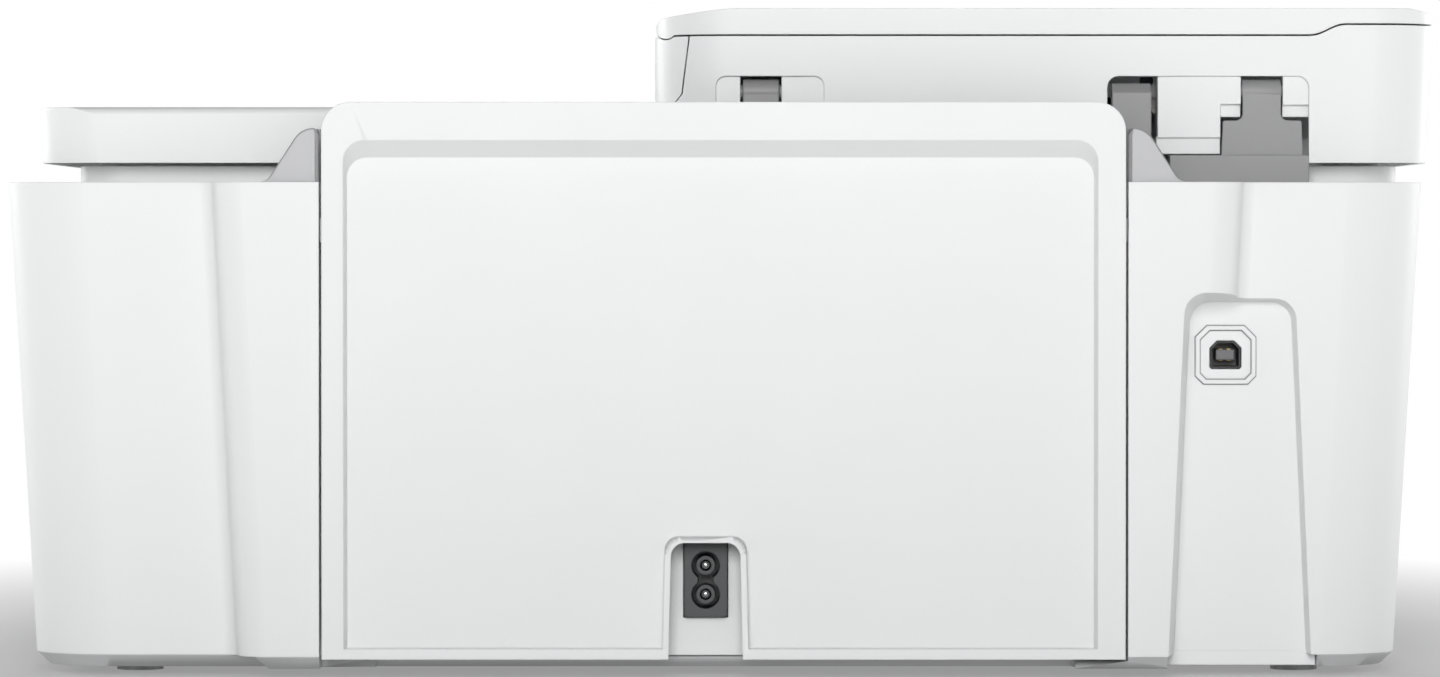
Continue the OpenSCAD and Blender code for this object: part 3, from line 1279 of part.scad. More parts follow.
base_housing();
base_pan();
front_panel();
control_panel();
display_window();
scanner_base();
scanner_glass();
scan_rail();
paper_well();
power_inlet();
power_supply();
usb_port();
main_board();
print_frame();
carriage_rod();
carriage_belt();
carriage_motor();
platen();
service_station();
rubber_feet();
case_screws();
hinge_arm_left();
hinge_arm_right();
cable_cover();
lid();
feeder_end_cover();
feeder_deck();
document_pad();
document_flap();
feeder_roller();
feeder_gear();
separation_roller();
separation_gear();
exit_roller();
document_guide_rear();
document_guide_front();
scan_carriage();
print_carriage();
black_cartridge();
colour_cartridge();
black_latch();
colour_latch();
feed_roller();
feed_gear();
idler_gear();
output_roller();
output_gear();
pickup_roller();
pinch_rollers();
input_tray();
tray_slider();
paper_guide_left();
paper_guide_right();
guide_pinion();
cartridge_door();
output_tray();
tray_extender();
power_button();
cancel_button();
copy_button();
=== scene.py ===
"""Looks of a desktop inkjet printer with a scanner and a document feeder, in its studio."""
import logging
import math
from dataclasses import dataclass
from enum import Enum
from typing import Any, Optional, Sequence, Union

import bmesh
import bpy
from mathutils import Euler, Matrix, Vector


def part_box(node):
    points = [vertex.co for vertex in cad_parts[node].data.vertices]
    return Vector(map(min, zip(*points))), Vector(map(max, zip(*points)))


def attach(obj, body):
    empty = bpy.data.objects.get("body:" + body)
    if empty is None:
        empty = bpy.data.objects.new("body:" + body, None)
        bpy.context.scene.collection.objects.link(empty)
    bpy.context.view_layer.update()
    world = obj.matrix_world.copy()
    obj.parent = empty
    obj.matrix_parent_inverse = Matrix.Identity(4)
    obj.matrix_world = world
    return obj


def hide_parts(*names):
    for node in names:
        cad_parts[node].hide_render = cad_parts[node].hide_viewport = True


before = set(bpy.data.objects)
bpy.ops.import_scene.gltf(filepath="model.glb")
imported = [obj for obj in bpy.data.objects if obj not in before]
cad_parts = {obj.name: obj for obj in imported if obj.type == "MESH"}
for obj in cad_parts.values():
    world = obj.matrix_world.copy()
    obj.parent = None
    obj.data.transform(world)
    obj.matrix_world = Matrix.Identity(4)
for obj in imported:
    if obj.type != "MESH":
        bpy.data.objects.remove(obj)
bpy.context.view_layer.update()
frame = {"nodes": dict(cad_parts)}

logging.basicConfig(level=logging.INFO, format="%(name)s: %(message)s")
LOG = logging.getLogger("printer")

Pair = tuple[float, float]
Triple = tuple[float, float, float]
Colour = tuple[float, float, float]
Outline = list[Pair]

MM = 0.001  # metres in a millimetre
FAR = 1000.0  # millimetres; past everything
WELD = 2e-6  # metres between corners that are one
SLIVER = 1e-6  # metres; shorter edges go
FLAT_BEND = 0.4  # degrees between faces that are one
FILLET_BEND = 25.0  # degrees from which an edge takes a fillet
SHARP_BEND = 30.0  # degrees from which an edge shows
NORMAL_WEIGHT = 50
WHITE = (1.0, 1.0, 1.0)
EVEN = (1.0, 1.0, 1.0)


# ---------- shader graph ----------

class Value:
    """A number in a shader graph that takes part in Python arithmetic."""

    def __init__(self, graph: "Graph", socket: bpy.types.NodeSocket) -> None:
        """Wraps a socket.

        Args:
            graph: The graph that the socket's node is in.
            socket: An output socket that carries a number.
        """
        self.graph = graph
        self.socket = socket

    def _math(self, operation: str, *others: "Number", clamp: bool = False) -> "Value":
        """The result of a Math node on this value and others.

        Args:
            operation: What the node works out.
            others: Its other inputs.
            clamp: Whether the result stays from 0 to 1.

        Returns:
            The result as a value.
        """
        node = self.graph.add("ShaderNodeMath", {"operation": operation, "use_clamp": clamp},
                              dict(enumerate((self, *others))))
        return Value(self.graph, node.outputs[0])

    def __add__(self, other: "Number") -> "Value":
        """This value plus another."""
        return self._math("ADD", other)

    __radd__ = __add__

    def __sub__(self, other: "Number") -> "Value":
        """This value minus another."""
        return self._math("SUBTRACT", other)

    def __rsub__(self, other: float) -> "Value":
        """A number minus this value."""
        return (self * -1.0) + other

    def __mul__(self, other: "Number") -> "Value":
        """This value times another."""
        return self._math("MULTIPLY", other)

    __rmul__ = __mul__

    def __lt__(self, other: "Number") -> "Value":
        """1 where this value is below another, else 0."""
        return self._math("LESS_THAN", other)

    def __gt__(self, other: "Number") -> "Value":
        """1 where this value is above another, else 0."""
        return self._math("GREATER_THAN", other)

    def wave(self) -> "Value":
        """The sine of this value."""
        return self._math("SINE")

    def root(self) -> "Value":
        """The square root of this value."""
        return self._math("SQRT")

    def ramp(self, low: float, high: float) -> "Value":
        """This value spread so that low gives 0 and high gives 1, clamped."""
        return (self - low)._math("MULTIPLY", 1.0 / (high - low), clamp=True)


Number = Union[Value, float, int]


class Graph:
    """The node tree of one material or surround."""

    octave_gain = 0.55

    def __init__(self, name: str, owners: Optional[bpy.types.bpy_prop_collection] = None) -> None:
        """Makes a material or a surround with an empty node tree.

        Args:
            name: Its name.
            owners: The collection that it is made in; the materials by default.
        """
        if owners is None:
            owners = bpy.data.materials
        self.owner = owners.new(name)
        self.owner.use_nodes = True
        self.tree = self.owner.node_tree
        self.tree.nodes.clear()
        self.spaces = self.add("ShaderNodeTexCoord").outputs
        self.place = self.spaces["Object"]

    def add(self, kind: str, settings: Optional[dict[str, Any]] = None,
            inputs: Optional[dict[Any, Any]] = None) -> bpy.types.Node:
        """Adds any node, with its settings first and then its sockets.

        Args:
            kind: The node's type.
            settings: Attributes of the node.
            inputs: Values or links of its sockets, by name or number.

        Returns:
            The node.
        """
        node = self.tree.nodes.new(kind)
        for key, value in (settings or {}).items():
            setattr(node, key, value)
        for key, value in (inputs or {}).items():
            self.feed(node.inputs[key], value)
        return node

    def feed(self, socket: bpy.types.NodeSocket, value: Any) -> None:
        """Links a socket or sets its value.

        Args:
            socket: The input socket.
            value: A Value, an output socket, a colour or a number.
        """
        if isinstance(value, Value):
            value = value.socket
        if isinstance(value, bpy.types.NodeSocket):
            self.tree.links.new(value, socket)
        elif isinstance(value, tuple) and socket.type == "RGBA":
            socket.default_value = (*value, 1.0)
        else:
            socket.default_value = value

    def noise(self, size: float, detail: float = 2.0, stretch: Triple = EVEN) -> Value:
        """Noise from 0 to 1 whose lumps are about one size.

        Args:
            size: The size of a lump in metres.
            detail: Octaves of finer noise.
            stretch: How much longer the lumps are along X, Y and Z.

        Returns:
            The noise as a value.
        """
        place = self.place
        if stretch != EVEN:
            divide = self.add("ShaderNodeVectorMath", {"operation": "DIVIDE"}, {0: place, 1: stretch})
            place = divide.outputs[0]
        inputs = {"Vector": place, "Scale": 1.0 / size, "Detail": detail, "Roughness": self.octave_gain}
        node = self.add("ShaderNodeTexNoise", {"noise_dimensions": "3D"}, inputs)
        return Value(self, node.outputs["Fac"])

    def cells(self, size: float) -> Value:
        """Distance from 0 to about 1 across small round cells.

        Args:
            size: The size of a cell in metres.

        Returns:
            The distance as a value.
        """
        inputs = {"Vector": self.place, "Scale": 1.0 / size}
        node = self.add("ShaderNodeTexVoronoi", {"feature": "F1"}, inputs)
        return Value(self, node.outputs["Distance"])

    def axes(self, space: str = "Object") -> tuple[Value, ...]:
        """The three coordinates of a space; the object's own is in metres."""
        node = self.add("ShaderNodeSeparateXYZ", None, {0: self.spaces[space]})
        return tuple(Value(self, socket) for socket in node.outputs)

    def mix(self, factor: Number, first: Any, second: Any) -> bpy.types.NodeSocket:
        """A colour between two others, each a colour or a socket."""
        return self.add("ShaderNodeMix", {"data_type": "RGBA"}, {0: factor, 6: first, 7: second}).outputs[2]

    def bump(self, height: Number, depth: float, under: Optional[bpy.types.NodeSocket] = None
             ) -> bpy.types.NodeSocket:
        """A normal that shows a relief.

        Args:
            height: The relief, 0 to 1.
            depth: What a height of 1 stands for, in metres.
            under: The normal of a coarser relief.

        Returns:
            The normal's socket.
        """
        inputs = {"Height": height, "Distance": depth, "Strength": 1.0}
        if under is not None:
            inputs["Normal"] = under
        return self.add("ShaderNodeBump", None, inputs).outputs["Normal"]

    def end(self, shader: bpy.types.Node, kind: str = "ShaderNodeOutputMaterial") -> Any:
        """Links a shader to the output and gives the owner."""
        self.add(kind, None, {"Surface": shader.outputs[0]})
        return self.owner

    def finish(self, colour: Any, roughness: Number, normal: Optional[bpy.types.NodeSocket] = None,
               **fixed: Any) -> bpy.types.Material:
        """Ends the graph in a Principled shader.

        Args:
            colour: A colour or its socket.
            roughness: A number or value.
            normal: The normal's socket, if a relief shows.
            fixed: Other sockets by name, with underscores for spaces.

        Returns:
            The finished material.
        """
        inputs = {"Base Color": colour, "Roughness": roughness}
        if normal is not None:
            inputs["Normal"] = normal
        inputs.update({key.replace("_", " "): value for key, value in fixed.items()})
        return self.end(self.add("ShaderNodeBsdfPrincipled", None, inputs))


def scaled(colour: Colour, factor: float, lift: float = 0.0) -> Colour:
    """A colour made lighter or darker, up to full white."""
    return tuple(min(1.0, channel * factor + lift) for channel in colour)


# ---------- finishes ----------

@dataclass(frozen=True)
class Moulding:
    """Injection-moulded plastic with a spark-eroded grain."""

    name: str
    colour: Colour
    roughness: float = 0.42
    grain: float = 0.0006
    depth: float = 0.00002
    mottle: float = 0.02
    flow: float = 0.06
    flow_depth: float = 0.00006
    edge: float = 0.0005
    edge_samples: int = 4
    pit_size: float = 1.7
    pit_share: float = 0.4
    contrast: float = 4.0
    tones: Pair = (0.9, 1.08)
    handled: float = 0.4
    sheen: Pair = (0.10, 0.06)

    def build(self) -> bpy.types.Material:
        """Grain, faint flow marks and handling sheen.

        Returns:
            The plastic's material.
        """
        g = Graph(self.name)
        broad = g.noise(self.flow, detail=3.0)
        fine = g.noise(self.grain)
        pits = g.cells(self.grain * self.pit_size)
        shade = (broad - 0.5) * (2.0 * self.mottle) + (fine - 0.5) * self.mottle
        darker, lighter = (scaled(self.colour, tone) for tone in self.tones)
        colour = g.mix(shade * self.contrast + 0.5, darker, lighter)
        polish = g.noise(self.flow * self.handled, detail=4.0)
        roughness = (polish - 0.5) * self.sheen[0] + (fine - 0.5) * self.sheen[1] + self.roughness
        relief = fine * (1.0 - self.pit_share) + pits * self.pit_share
        edge = g.add("ShaderNodeBevel", {"samples": self.edge_samples}, {"Radius": self.edge})
        slow = g.bump(broad, self.flow_depth, edge.outputs["Normal"])
        return g.finish(colour, roughness, g.bump(relief, self.depth, slow))


@dataclass(frozen=True)
class Plate:
    """Zinc-plated sheet steel, rolled along X."""

    name: str
    colour: Colour = (0.52, 0.53, 0.54)
    bright: float = 1.18
    line: float = 0.0004
    rolled: Triple = (40.0, 1.0, 1.0)
    spangle: float = 0.006
    patch: float = 0.03
    depth: float = 0.00001
    sheen: Triple = (0.16, 0.18, 0.16)

    def build(self) -> bpy.types.Material:
        """Rolling lines, spangle and dull patches.

        Returns:
            The steel's material.
        """
        g = Graph(self.name)
        lines = g.noise(self.line, detail=3.0, stretch=self.rolled)
        spangle = g.cells(self.spangle)
        dull = g.noise(self.patch, detail=4.0)
        colour = g.mix(spangle * 0.5 + lines * 0.5, self.colour, scaled(self.colour, self.bright))
        roughness = lines * self.sheen[0] + dull * self.sheen[1] + self.sheen[2]
        return g.finish(colour, roughness, g.bump(lines, self.depth), Metallic=1.0)


@dataclass(frozen=True)
class Shaft:
    """Ground steel rod along X."""

    name: str
    colours: tuple[Colour, Colour] = ((0.60, 0.61, 0.62), (0.70, 0.70, 0.69))
    ring: float = 0.0003
    turned: Triple = (1.0, 30.0, 30.0)
    grease: float = 0.02
    depth: float = 0.000004
    sheen: float = 0.08

    def build(self) -> bpy.types.Material:
        """Grinding rings and a film of grease.

        Returns:
            The rod's material.
        """
        g = Graph(self.name)
        rings = g.noise(self.ring, stretch=self.turned)
        grease = g.noise(self.grease, detail=3.0)
        roughness = rings * self.sheen + grease * self.sheen + self.sheen
        return g.finish(g.mix(grease, *self.colours), roughness, g.bump(rings, self.depth), Metallic=1.0)


@dataclass(frozen=True)
class Rubber:
    """Moulded rubber with talc in its pores."""

    name: str
    colour: Colour = (0.045, 0.045, 0.048)
    pore: float = 0.0007
    depth: float = 0.00005
    talc: float = 0.004
    talc_from: Pair = (0.45, 0.8)
    dusted: Pair = (2.6, 0.02)
    cover: float = 0.35
    matt: Pair = (0.1, 0.72)

    def build(self) -> bpy.types.Material:
        """Pores, talc and a matt face.

        Returns:
            The rubber's material.
        """
        g = Graph(self.name)
        pores = g.cells(self.pore)
        talc = g.noise(self.talc, detail=5.0).ramp(*self.talc_from)
        colour = g.mix(talc * self.cover, self.colour, scaled(self.colour, *self.dusted))
        return g.finish(colour, talc * self.matt[0] + self.matt[1], g.bump(pores, self.depth))


@dataclass(frozen=True)
class Float:
    """Clear float glass."""

    name: str
    colours: tuple[Colour, Colour] = ((0.80, 0.90, 0.88), (0.84, 0.93, 0.92))
    dust: float = 0.002
    dust_from: Pair = (0.62, 0.9)
    smear: float = 0.05
    sheen: Triple = (0.18, 0.02, 0.01)
    index: float = 1.5

    def build(self) -> bpy.types.Material:
        """A green body, a trace of dust and a faint smear.

        Returns:
            The glass's material.
        """
        g = Graph(self.name)
        dust = g.noise(self.dust, detail=6.0).ramp(*self.dust_from)
        smear = g.noise(self.smear, detail=3.0)
        roughness = dust * self.sheen[0] + smear * self.sheen[1] + self.sheen[2]
        return g.finish(g.mix(smear, *self.colours), roughness, Transmission_Weight=1.0, IOR=self.index)


@dataclass(frozen=True)
class Board:
    """Circuit board with solder mask over its tracks."""

    name: str
    masks: tuple[Colour, Colour] = ((0.012, 0.10, 0.045), (0.03, 0.20, 0.09))
    tin: Colour = (0.62, 0.60, 0.52)
    track_rate: float = 2600.0
    bend_rate: float = 400.0
    bend: float = 1.5
    track_from: float = 0.35
    pad_pitch: float = 0.003
    pad_to: float = 0.28
    weave: float = 0.0008
    depth: float = 0.00003

    def build(self) -> bpy.types.Material:
        """Tracks, pads and glass weave.

        Returns:
            The board's material.
        """
        g = Graph(self.name)
        _, y, z = g.axes()
        tracks = (y * self.track_rate + (z * self.bend_rate).wave() * self.bend).wave() > self.track_from
        pads = g.cells(self.pad_pitch) < self.pad_to
        weave = g.noise(self.weave)
        mask = g.mix(tracks * 0.6 + weave * 0.2, *self.masks)
        colour = g.mix(pads * 0.8, mask, self.tin)
        return g.finish(colour, weave * 0.1 + 0.3, g.bump(tracks, self.depth), Metallic=pads * 0.7)


@dataclass(frozen=True)
class Screen:
    """Smoked window over a small segment display."""

    name: str
    low: Triple
    high: Triple
    fields: tuple[Colour, Colour] = ((0.030, 0.036, 0.034), (0.042, 0.050, 0.047))
    black: Colour = (0.006, 0.006, 0.007)
    border: Pair = (0.006, 0.0036)
    cloud: float = 0.01
    wipe: float = 0.006
    wiped: Triple = (3.0, 1.0, 1.0)
    depth: float = 0.000004

    def build(self) -> bpy.types.Material:
        """A grey-green glass field inside a black border.

        Returns:
            The window's material.
        """
        g = Graph(self.name)
        x, y, _ = g.axes()
        inside = ((x > self.low[0] + self.border[0]) * (x < self.high[0] - self.border[0])
                  * (y > self.low[1] + self.border[1]) * (y < self.high[1] - self.border[1]))
        cloud = g.noise(self.cloud, detail=3.0)
        colour = g.mix(inside, self.black, g.mix(cloud, *self.fields))
        wipe = g.noise(self.wipe, detail=5.0, stretch=self.wiped)
        return g.finish(colour, wipe * 0.06 + 0.05, g.bump(cloud, self.depth), Coat_Weight=0.5)


@dataclass(frozen=True)
class Film:
    """White film over the foam of the lid's pad."""

    name: str
    colours: tuple[Colour, Colour] = ((0.82, 0.83, 0.82), (0.88, 0.88, 0.87))
    dimple: float = 0.009
    dimple_depth: float = 0.0003
    fibre: float = 0.0009
    fibre_depth: float = 0.00002

    def build(self) -> bpy.types.Material:
        """Soft dimples and a satin face.

        Returns:
            The film's material.
        """
        g = Graph(self.name)
        dimples = g.noise(self.dimple, detail=3.0)
        fibre = g.noise(self.fibre)
        relief = g.bump(fibre, self.fibre_depth, g.bump(dimples, self.dimple_depth))
        return g.finish(g.mix(dimples * 0.6 + fibre * 0.4, *self.colours), dimples * 0.08 + 0.34, relief)


class Finish(Enum):
    """The finishes that the pieces wear."""

    WHITE = Moulding("white_moulding", (0.80, 0.81, 0.81))
    PAN = Moulding("pan_moulding", (0.56, 0.565, 0.57), 0.46)
    WELL = Moulding("light_grey_moulding", (0.50, 0.50, 0.51), 0.44)
    HINGE = Moulding("hinge_grey_moulding", (0.285, 0.285, 0.29), 0.46, mottle=0.03)
    INLET = Moulding("inlet_grey_moulding", (0.045, 0.047, 0.05), 0.38, 0.0005)
    BLACK = Moulding("black_moulding", (0.018, 0.018, 0.019), 0.36, 0.0005, mottle=0.05)
    CHARCOAL = Moulding("charcoal_moulding", (0.075, 0.077, 0.08), 0.44, mottle=0.04)
    KEY = Moulding("key_moulding", (0.42, 0.43, 0.44), 0.34, 0.0004)
    ACETAL = Moulding("natural_acetal", (0.74, 0.73, 0.68), 0.32, 0.0009)
    COLOUR = Moulding("blue_grey_moulding", (0.03, 0.05, 0.10), 0.32)
    TONGUE = Moulding("tongue_grey_moulding", (0.13, 0.13, 0.135), 0.4, 0.0003)
    MARK = Moulding("mark_ink", (0.035, 0.037, 0.04), 0.5, 0.0003)
    STEEL = Plate("zinc_plate")
    GOLD = Plate("contact_gold", (0.62, 0.47, 0.20))
    SHAFT = Shaft("ground_shaft")
    RUBBER = Rubber("black_rubber")
    ROLLER = Rubber("grey_rubber", (0.09, 0.09, 0.095))
    FOOT = Rubber("pale_rubber", (0.30, 0.30, 0.305))
    GLASS = Float("float_glass")
    BOARD = Board("circuit_board")
    FILM = Film("white_film")

    def material(self) -> bpy.types.Material:
        """The finish's material, made once."""
        return bpy.data.materials.get(self.value.name) or self.value.build()


# ---------- mesh shop ----------

class Work(Enum):
    """What a solid does to the mesh that it meets."""

    JOIN = "UNION"
    CUT = "DIFFERENCE"


Step = tuple[Work, bpy.types.Mesh]


@dataclass(frozen=True)
class Round:
    """A fillet on the sharp edges inside a region, all in millimetres."""

    radius: float
    low: Triple = (-FAR, -FAR, -FAR)
    high: Triple = (FAR, FAR, FAR)

    def holds(self, edge: bmesh.types.BMEdge) -> bool:
        """Whether both ends of an edge are inside the region."""
        return all(a <= c / MM <= b for end in edge.verts for a, c, b in zip(self.low, end.co, self.high))


def placed(name: str, data: Any) -> bpy.types.Object:
    """Puts a new object into the scene.

    Args:
        name: Its name.
        data: The mesh, lamp or camera that it holds.

    Returns:
        The object.
    """
    item = bpy.data.objects.new(name, data)
    bpy.context.scene.collection.objects.link(item)
    return item


def written(bm: bmesh.types.BMesh, name: str) -> bpy.types.Mesh:
    """Writes a bmesh out and frees it.

    Args:
        bm: The bmesh.
        name: The mesh's name.

    Returns:
        The mesh.
    """
    mesh = bpy.data.meshes.new(name)
    bm.to_mesh(mesh)
    bm.free()
    return mesh


def evaluated(item: bpy.types.Object) -> bpy.types.Mesh:
    """A new mesh with what an object's modifiers make of it."""
    return bpy.data.meshes.new_from_object(item.evaluated_get(bpy.context.evaluated_depsgraph_get()))


def show(name: str, mesh: bpy.types.Mesh, finish: Finish, body: str, *nodes: str,
         slot: str) -> bpy.types.Object:
    """Puts a mesh into the scene as a piece on its body.

    Args:
        name: The piece's name.
        mesh: Its mesh, in metres.
        finish: What it wears.
        body: The body that it rides on.
        nodes: The nodes that it stands for.
        slot: Not used.

    Returns:
        The piece.
    """
    piece = placed(name, mesh)
    mesh.materials.clear()
    mesh.materials.append(finish.material())
    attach(piece, body)
    if nodes:
        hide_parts(*nodes)
    LOG.info("%s: %d faces", name, len(mesh.polygons))
    return piece


def dress(finish: Finish, *nodes: str) -> None:
    """Gives nodes whose shape is right their finish.

    Args:
        finish: What they wear.
        nodes: The nodes' names.
    """
    for name in nodes:
        for slot in frame["nodes"][name].material_slots:
            slot.material = finish.material()
        LOG.info("%s wears %s", name, finish.value.name)


def rounded_copy(node: str, rounds: Sequence[Round], segments: int) -> bpy.types.Mesh:
    """A node's mesh with clean flat faces and rounded edges.

    Args:
        node: The node whose shape is taken.
        rounds: Fillets; the last one that holds an edge counts.
        segments: Facets across a fillet.

    Returns:
        The rounded mesh.
    """
    bm = bmesh.new()
    bm.from_mesh(frame["nodes"][node].data)
    bmesh.ops.remove_doubles(bm, verts=bm.verts, dist=WELD)
    bmesh.ops.dissolve_degenerate(bm, edges=bm.edges, dist=SLIVER)
    bmesh.ops.dissolve_limit(bm, angle_limit=math.radians(FLAT_BEND), verts=bm.verts, edges=bm.edges,
                             use_dissolve_boundaries=False)
    widest = max(rule.radius for rule in rounds)
    layer = bm.edges.layers.float.new("bevel_weight_edge")
    for edge in bm.edges:
        edge.smooth = True
        if len(edge.link_faces) == 2 and math.degrees(edge.calc_face_angle(0.0)) >= FILLET_BEND:
            for rule in rounds:
                if rule.holds(edge):
                    edge[layer] = rule.radius / widest
    for face in bm.faces:
        face.smooth = True
    mesh = written(bm, node + "_form")
    mesh.set_sharp_from_angle(angle=math.radians(SHARP_BEND))
    shell = placed("shell", mesh)
    bevel = shell.modifiers.new("rounding", "BEVEL")
    bevel.width, bevel.segments, bevel.limit_method = widest * MM, segments, "WEIGHT"
    bevel.use_clamp_overlap = False
    bevel.harden_normals = True
    bevel.miter_outer = "MITER_ARC"
    rounded = evaluated(shell)
    bpy.data.objects.remove(shell)
    return rounded


def lathe(profile: Sequence[Pair], centre: Pair, turns: int = 32) -> bpy.types.Mesh:
    """A turned form round an axis along Y.

    Args:
        profile: Pairs of Y and radius in millimetres; a radius of 0 closes an end.
        centre: The axis's X and Z in millimetres.
        turns: Facets round the axis.

    Returns:
        The turned mesh.
    """
    bm = bmesh.new()
    rings = []
    angles = [2.0 * math.pi * k / turns for k in range(turns)]
    for y, radius in profile:
        ring = [centre]
        if radius > 0.0:
            ring = [(centre[0] + radius * math.cos(a), centre[1] + radius * math.sin(a)) for a in angles]
        rings.append([bm.verts.new((x * MM, y * MM, z * MM)) for x, z in ring])
    for first, second in zip(rings, rings[1:]):
        for k in range(turns):
            corners = [first[k % len(first)], first[(k + 1) % len(first)],
                       second[(k + 1) % len(second)], second[k % len(second)]]
            bm.faces.new(list(dict.fromkeys(corners))).smooth = True
    bmesh.ops.recalc_face_normals(bm, faces=bm.faces)
    return written(bm, "turned")


def arch(x0: float, x1: float, z0: float, z1: float, radius: float, flare: float = 0.0) -> Outline:
    """An outline with rounded upper corners and a square foot, in millimetres.

    Args:
        x0: Its low side.
        x1: Its high side.
        z0: Its foot.
        z1: Its top.
        radius: The corners' radius.
        flare: How much wider each side is at the foot.

    Returns:
        The corners in order.
    """
    steps = 12
    points = [(x0 - flare, z0)]
    for centre, start in ((x0 + radius, 180.0), (x1 - radius, 90.0)):
        angles = [math.radians(start - 90.0 * k / steps) for k in range(steps + 1)]
        points += [(centre + radius * math.cos(a), z1 - radius + radius * math.sin(a)) for a in angles]
    return [*points, (x1 + flare, z0)]


def oblong(x: float, z: float, width: float, height: float) -> Outline:
    """The corners of a rectangle round a centre."""
    w, h = width / 2, height / 2
    return [(x - w, z - h), (x + w, z - h), (x + w, z + h), (x - w, z + h)]


def mirrored(outline: Outline) -> Outline:
    """The outline on the other side of the printer, still in order."""
    return [(-x, z) for x, z in reversed(outline)]


def loft(*rings: tuple[float, Outline], ease: float = 0.0) -> bpy.types.Mesh:
    """A closed solid through outlines that stand across Y.

    Args:
        rings: Places along Y and outlines with equal numbers of corners, in millimetres.
        ease: The rounding round the last outline, in millimetres.

    Returns:
        The solid's mesh.
    """
    bm = bmesh.new()
    loops = [[bm.verts.new((x * MM, y * MM, z * MM)) for x, z in outline] for y, outline in rings]
    bm.faces.new(loops[0])
    cap = bm.faces.new(loops[-1])
    for first, second in zip(loops, loops[1:]):
        count = len(first)
        for k in range(count):
            bm.faces.new((first[k], first[(k + 1) % count], second[(k + 1) % count], second[k]))
    bmesh.ops.recalc_face_normals(bm, faces=bm.faces)
    if ease > 0.0:
        bmesh.ops.bevel(bm, geom=list(cap.edges), offset=ease * MM, segments=3, profile=0.5, affect="EDGES")
    return written(bm, "loft")


def block(low: Triple, high: Triple) -> bpy.types.Mesh:
    """A box between two corners.

    Args:
        low: Its low corner in millimetres.
        high: Its high corner in millimetres.

    Returns:
        The box's mesh.
    """
    (x0, y0, z0), (x1, y1, z1) = low, high
    face = [(x0, z0), (x0, z1), (x1, z1), (x1, z0)]
    return loft((y0, face), (y1, face))


def carve(mesh: bpy.types.Mesh, *steps: Step) -> bpy.types.Mesh:
    """A mesh with solids joined to it or cut out of it, in order.

    Args:
        mesh: The mesh to start from.
        steps: Pairs of what is done and the solid that does it.

    Returns:
        The new mesh.
    """
    shell = placed("shell", mesh.copy())
    tools = []
    for work, solid in steps:
        tools.append(placed("tool", solid))
        change = shell.modifiers.new(work.name, "BOOLEAN")
        change.operation, change.object, change.solver = work.value, tools[-1], "EXACT"
    result = evaluated(shell)
    for tool in tools:
        bpy.data.objects.remove(tool)
    for face in result.polygons:
        face.use_smooth = True
    result.set_sharp_from_angle(angle=math.radians(SHARP_BEND))
    shell.modifiers.clear()
    shell.data = result
    weighted = shell.modifiers.new("normals", "WEIGHTED_NORMAL")
    weighted.mode, weighted.weight, weighted.keep_sharp = "FACE_AREA_WITH_ANGLE", NORMAL_WEIGHT, True
    shaded = evaluated(shell)
    bpy.data.objects.remove(shell)
    return shaded


def remade(node: str, finish: Finish, body: str, slot: str, *steps: Step) -> bpy.types.Object:
    """Shows a carved copy of a node in its place."""
    return show(node + "_piece", carve(frame["nodes"][node].data, *steps), finish, body, node, slot=slot)


# ---------- sub-assemblies ----------

@dataclass
class Moulded:
    """A piece that copies a node's form and rounds its edges."""

    node: str
    finish: Finish
    body: str
    slot: str
    rounds: tuple[Round, ...]
    segments: int = 3

    def build(self) -> bpy.types.Object:
        """Makes the piece and hides its node."""
        mesh = rounded_copy(self.node, self.rounds, self.segments)
        return show(self.node + "_piece", mesh, self.finish, self.body, self.node, slot=self.slot)


@dataclass(frozen=True)
class Lamp:
    """A square soft box that faces the printer, in metres and watts."""

    name: str
    place: Triple
    size: float
    power: float
    aim: Triple = (0.0, 0.0, 0.08)

    def build(self) -> None:
        """Hangs the lamp."""
        data = bpy.data.lights.new(self.name, "AREA")
        data.size, data.energy = self.size, self.power
        lamp = placed(self.name, data)
        lamp.location = self.place
        lamp.rotation_euler = (Vector(self.aim) - Vector(self.place)).to_track_quat("-Z", "Y").to_euler()


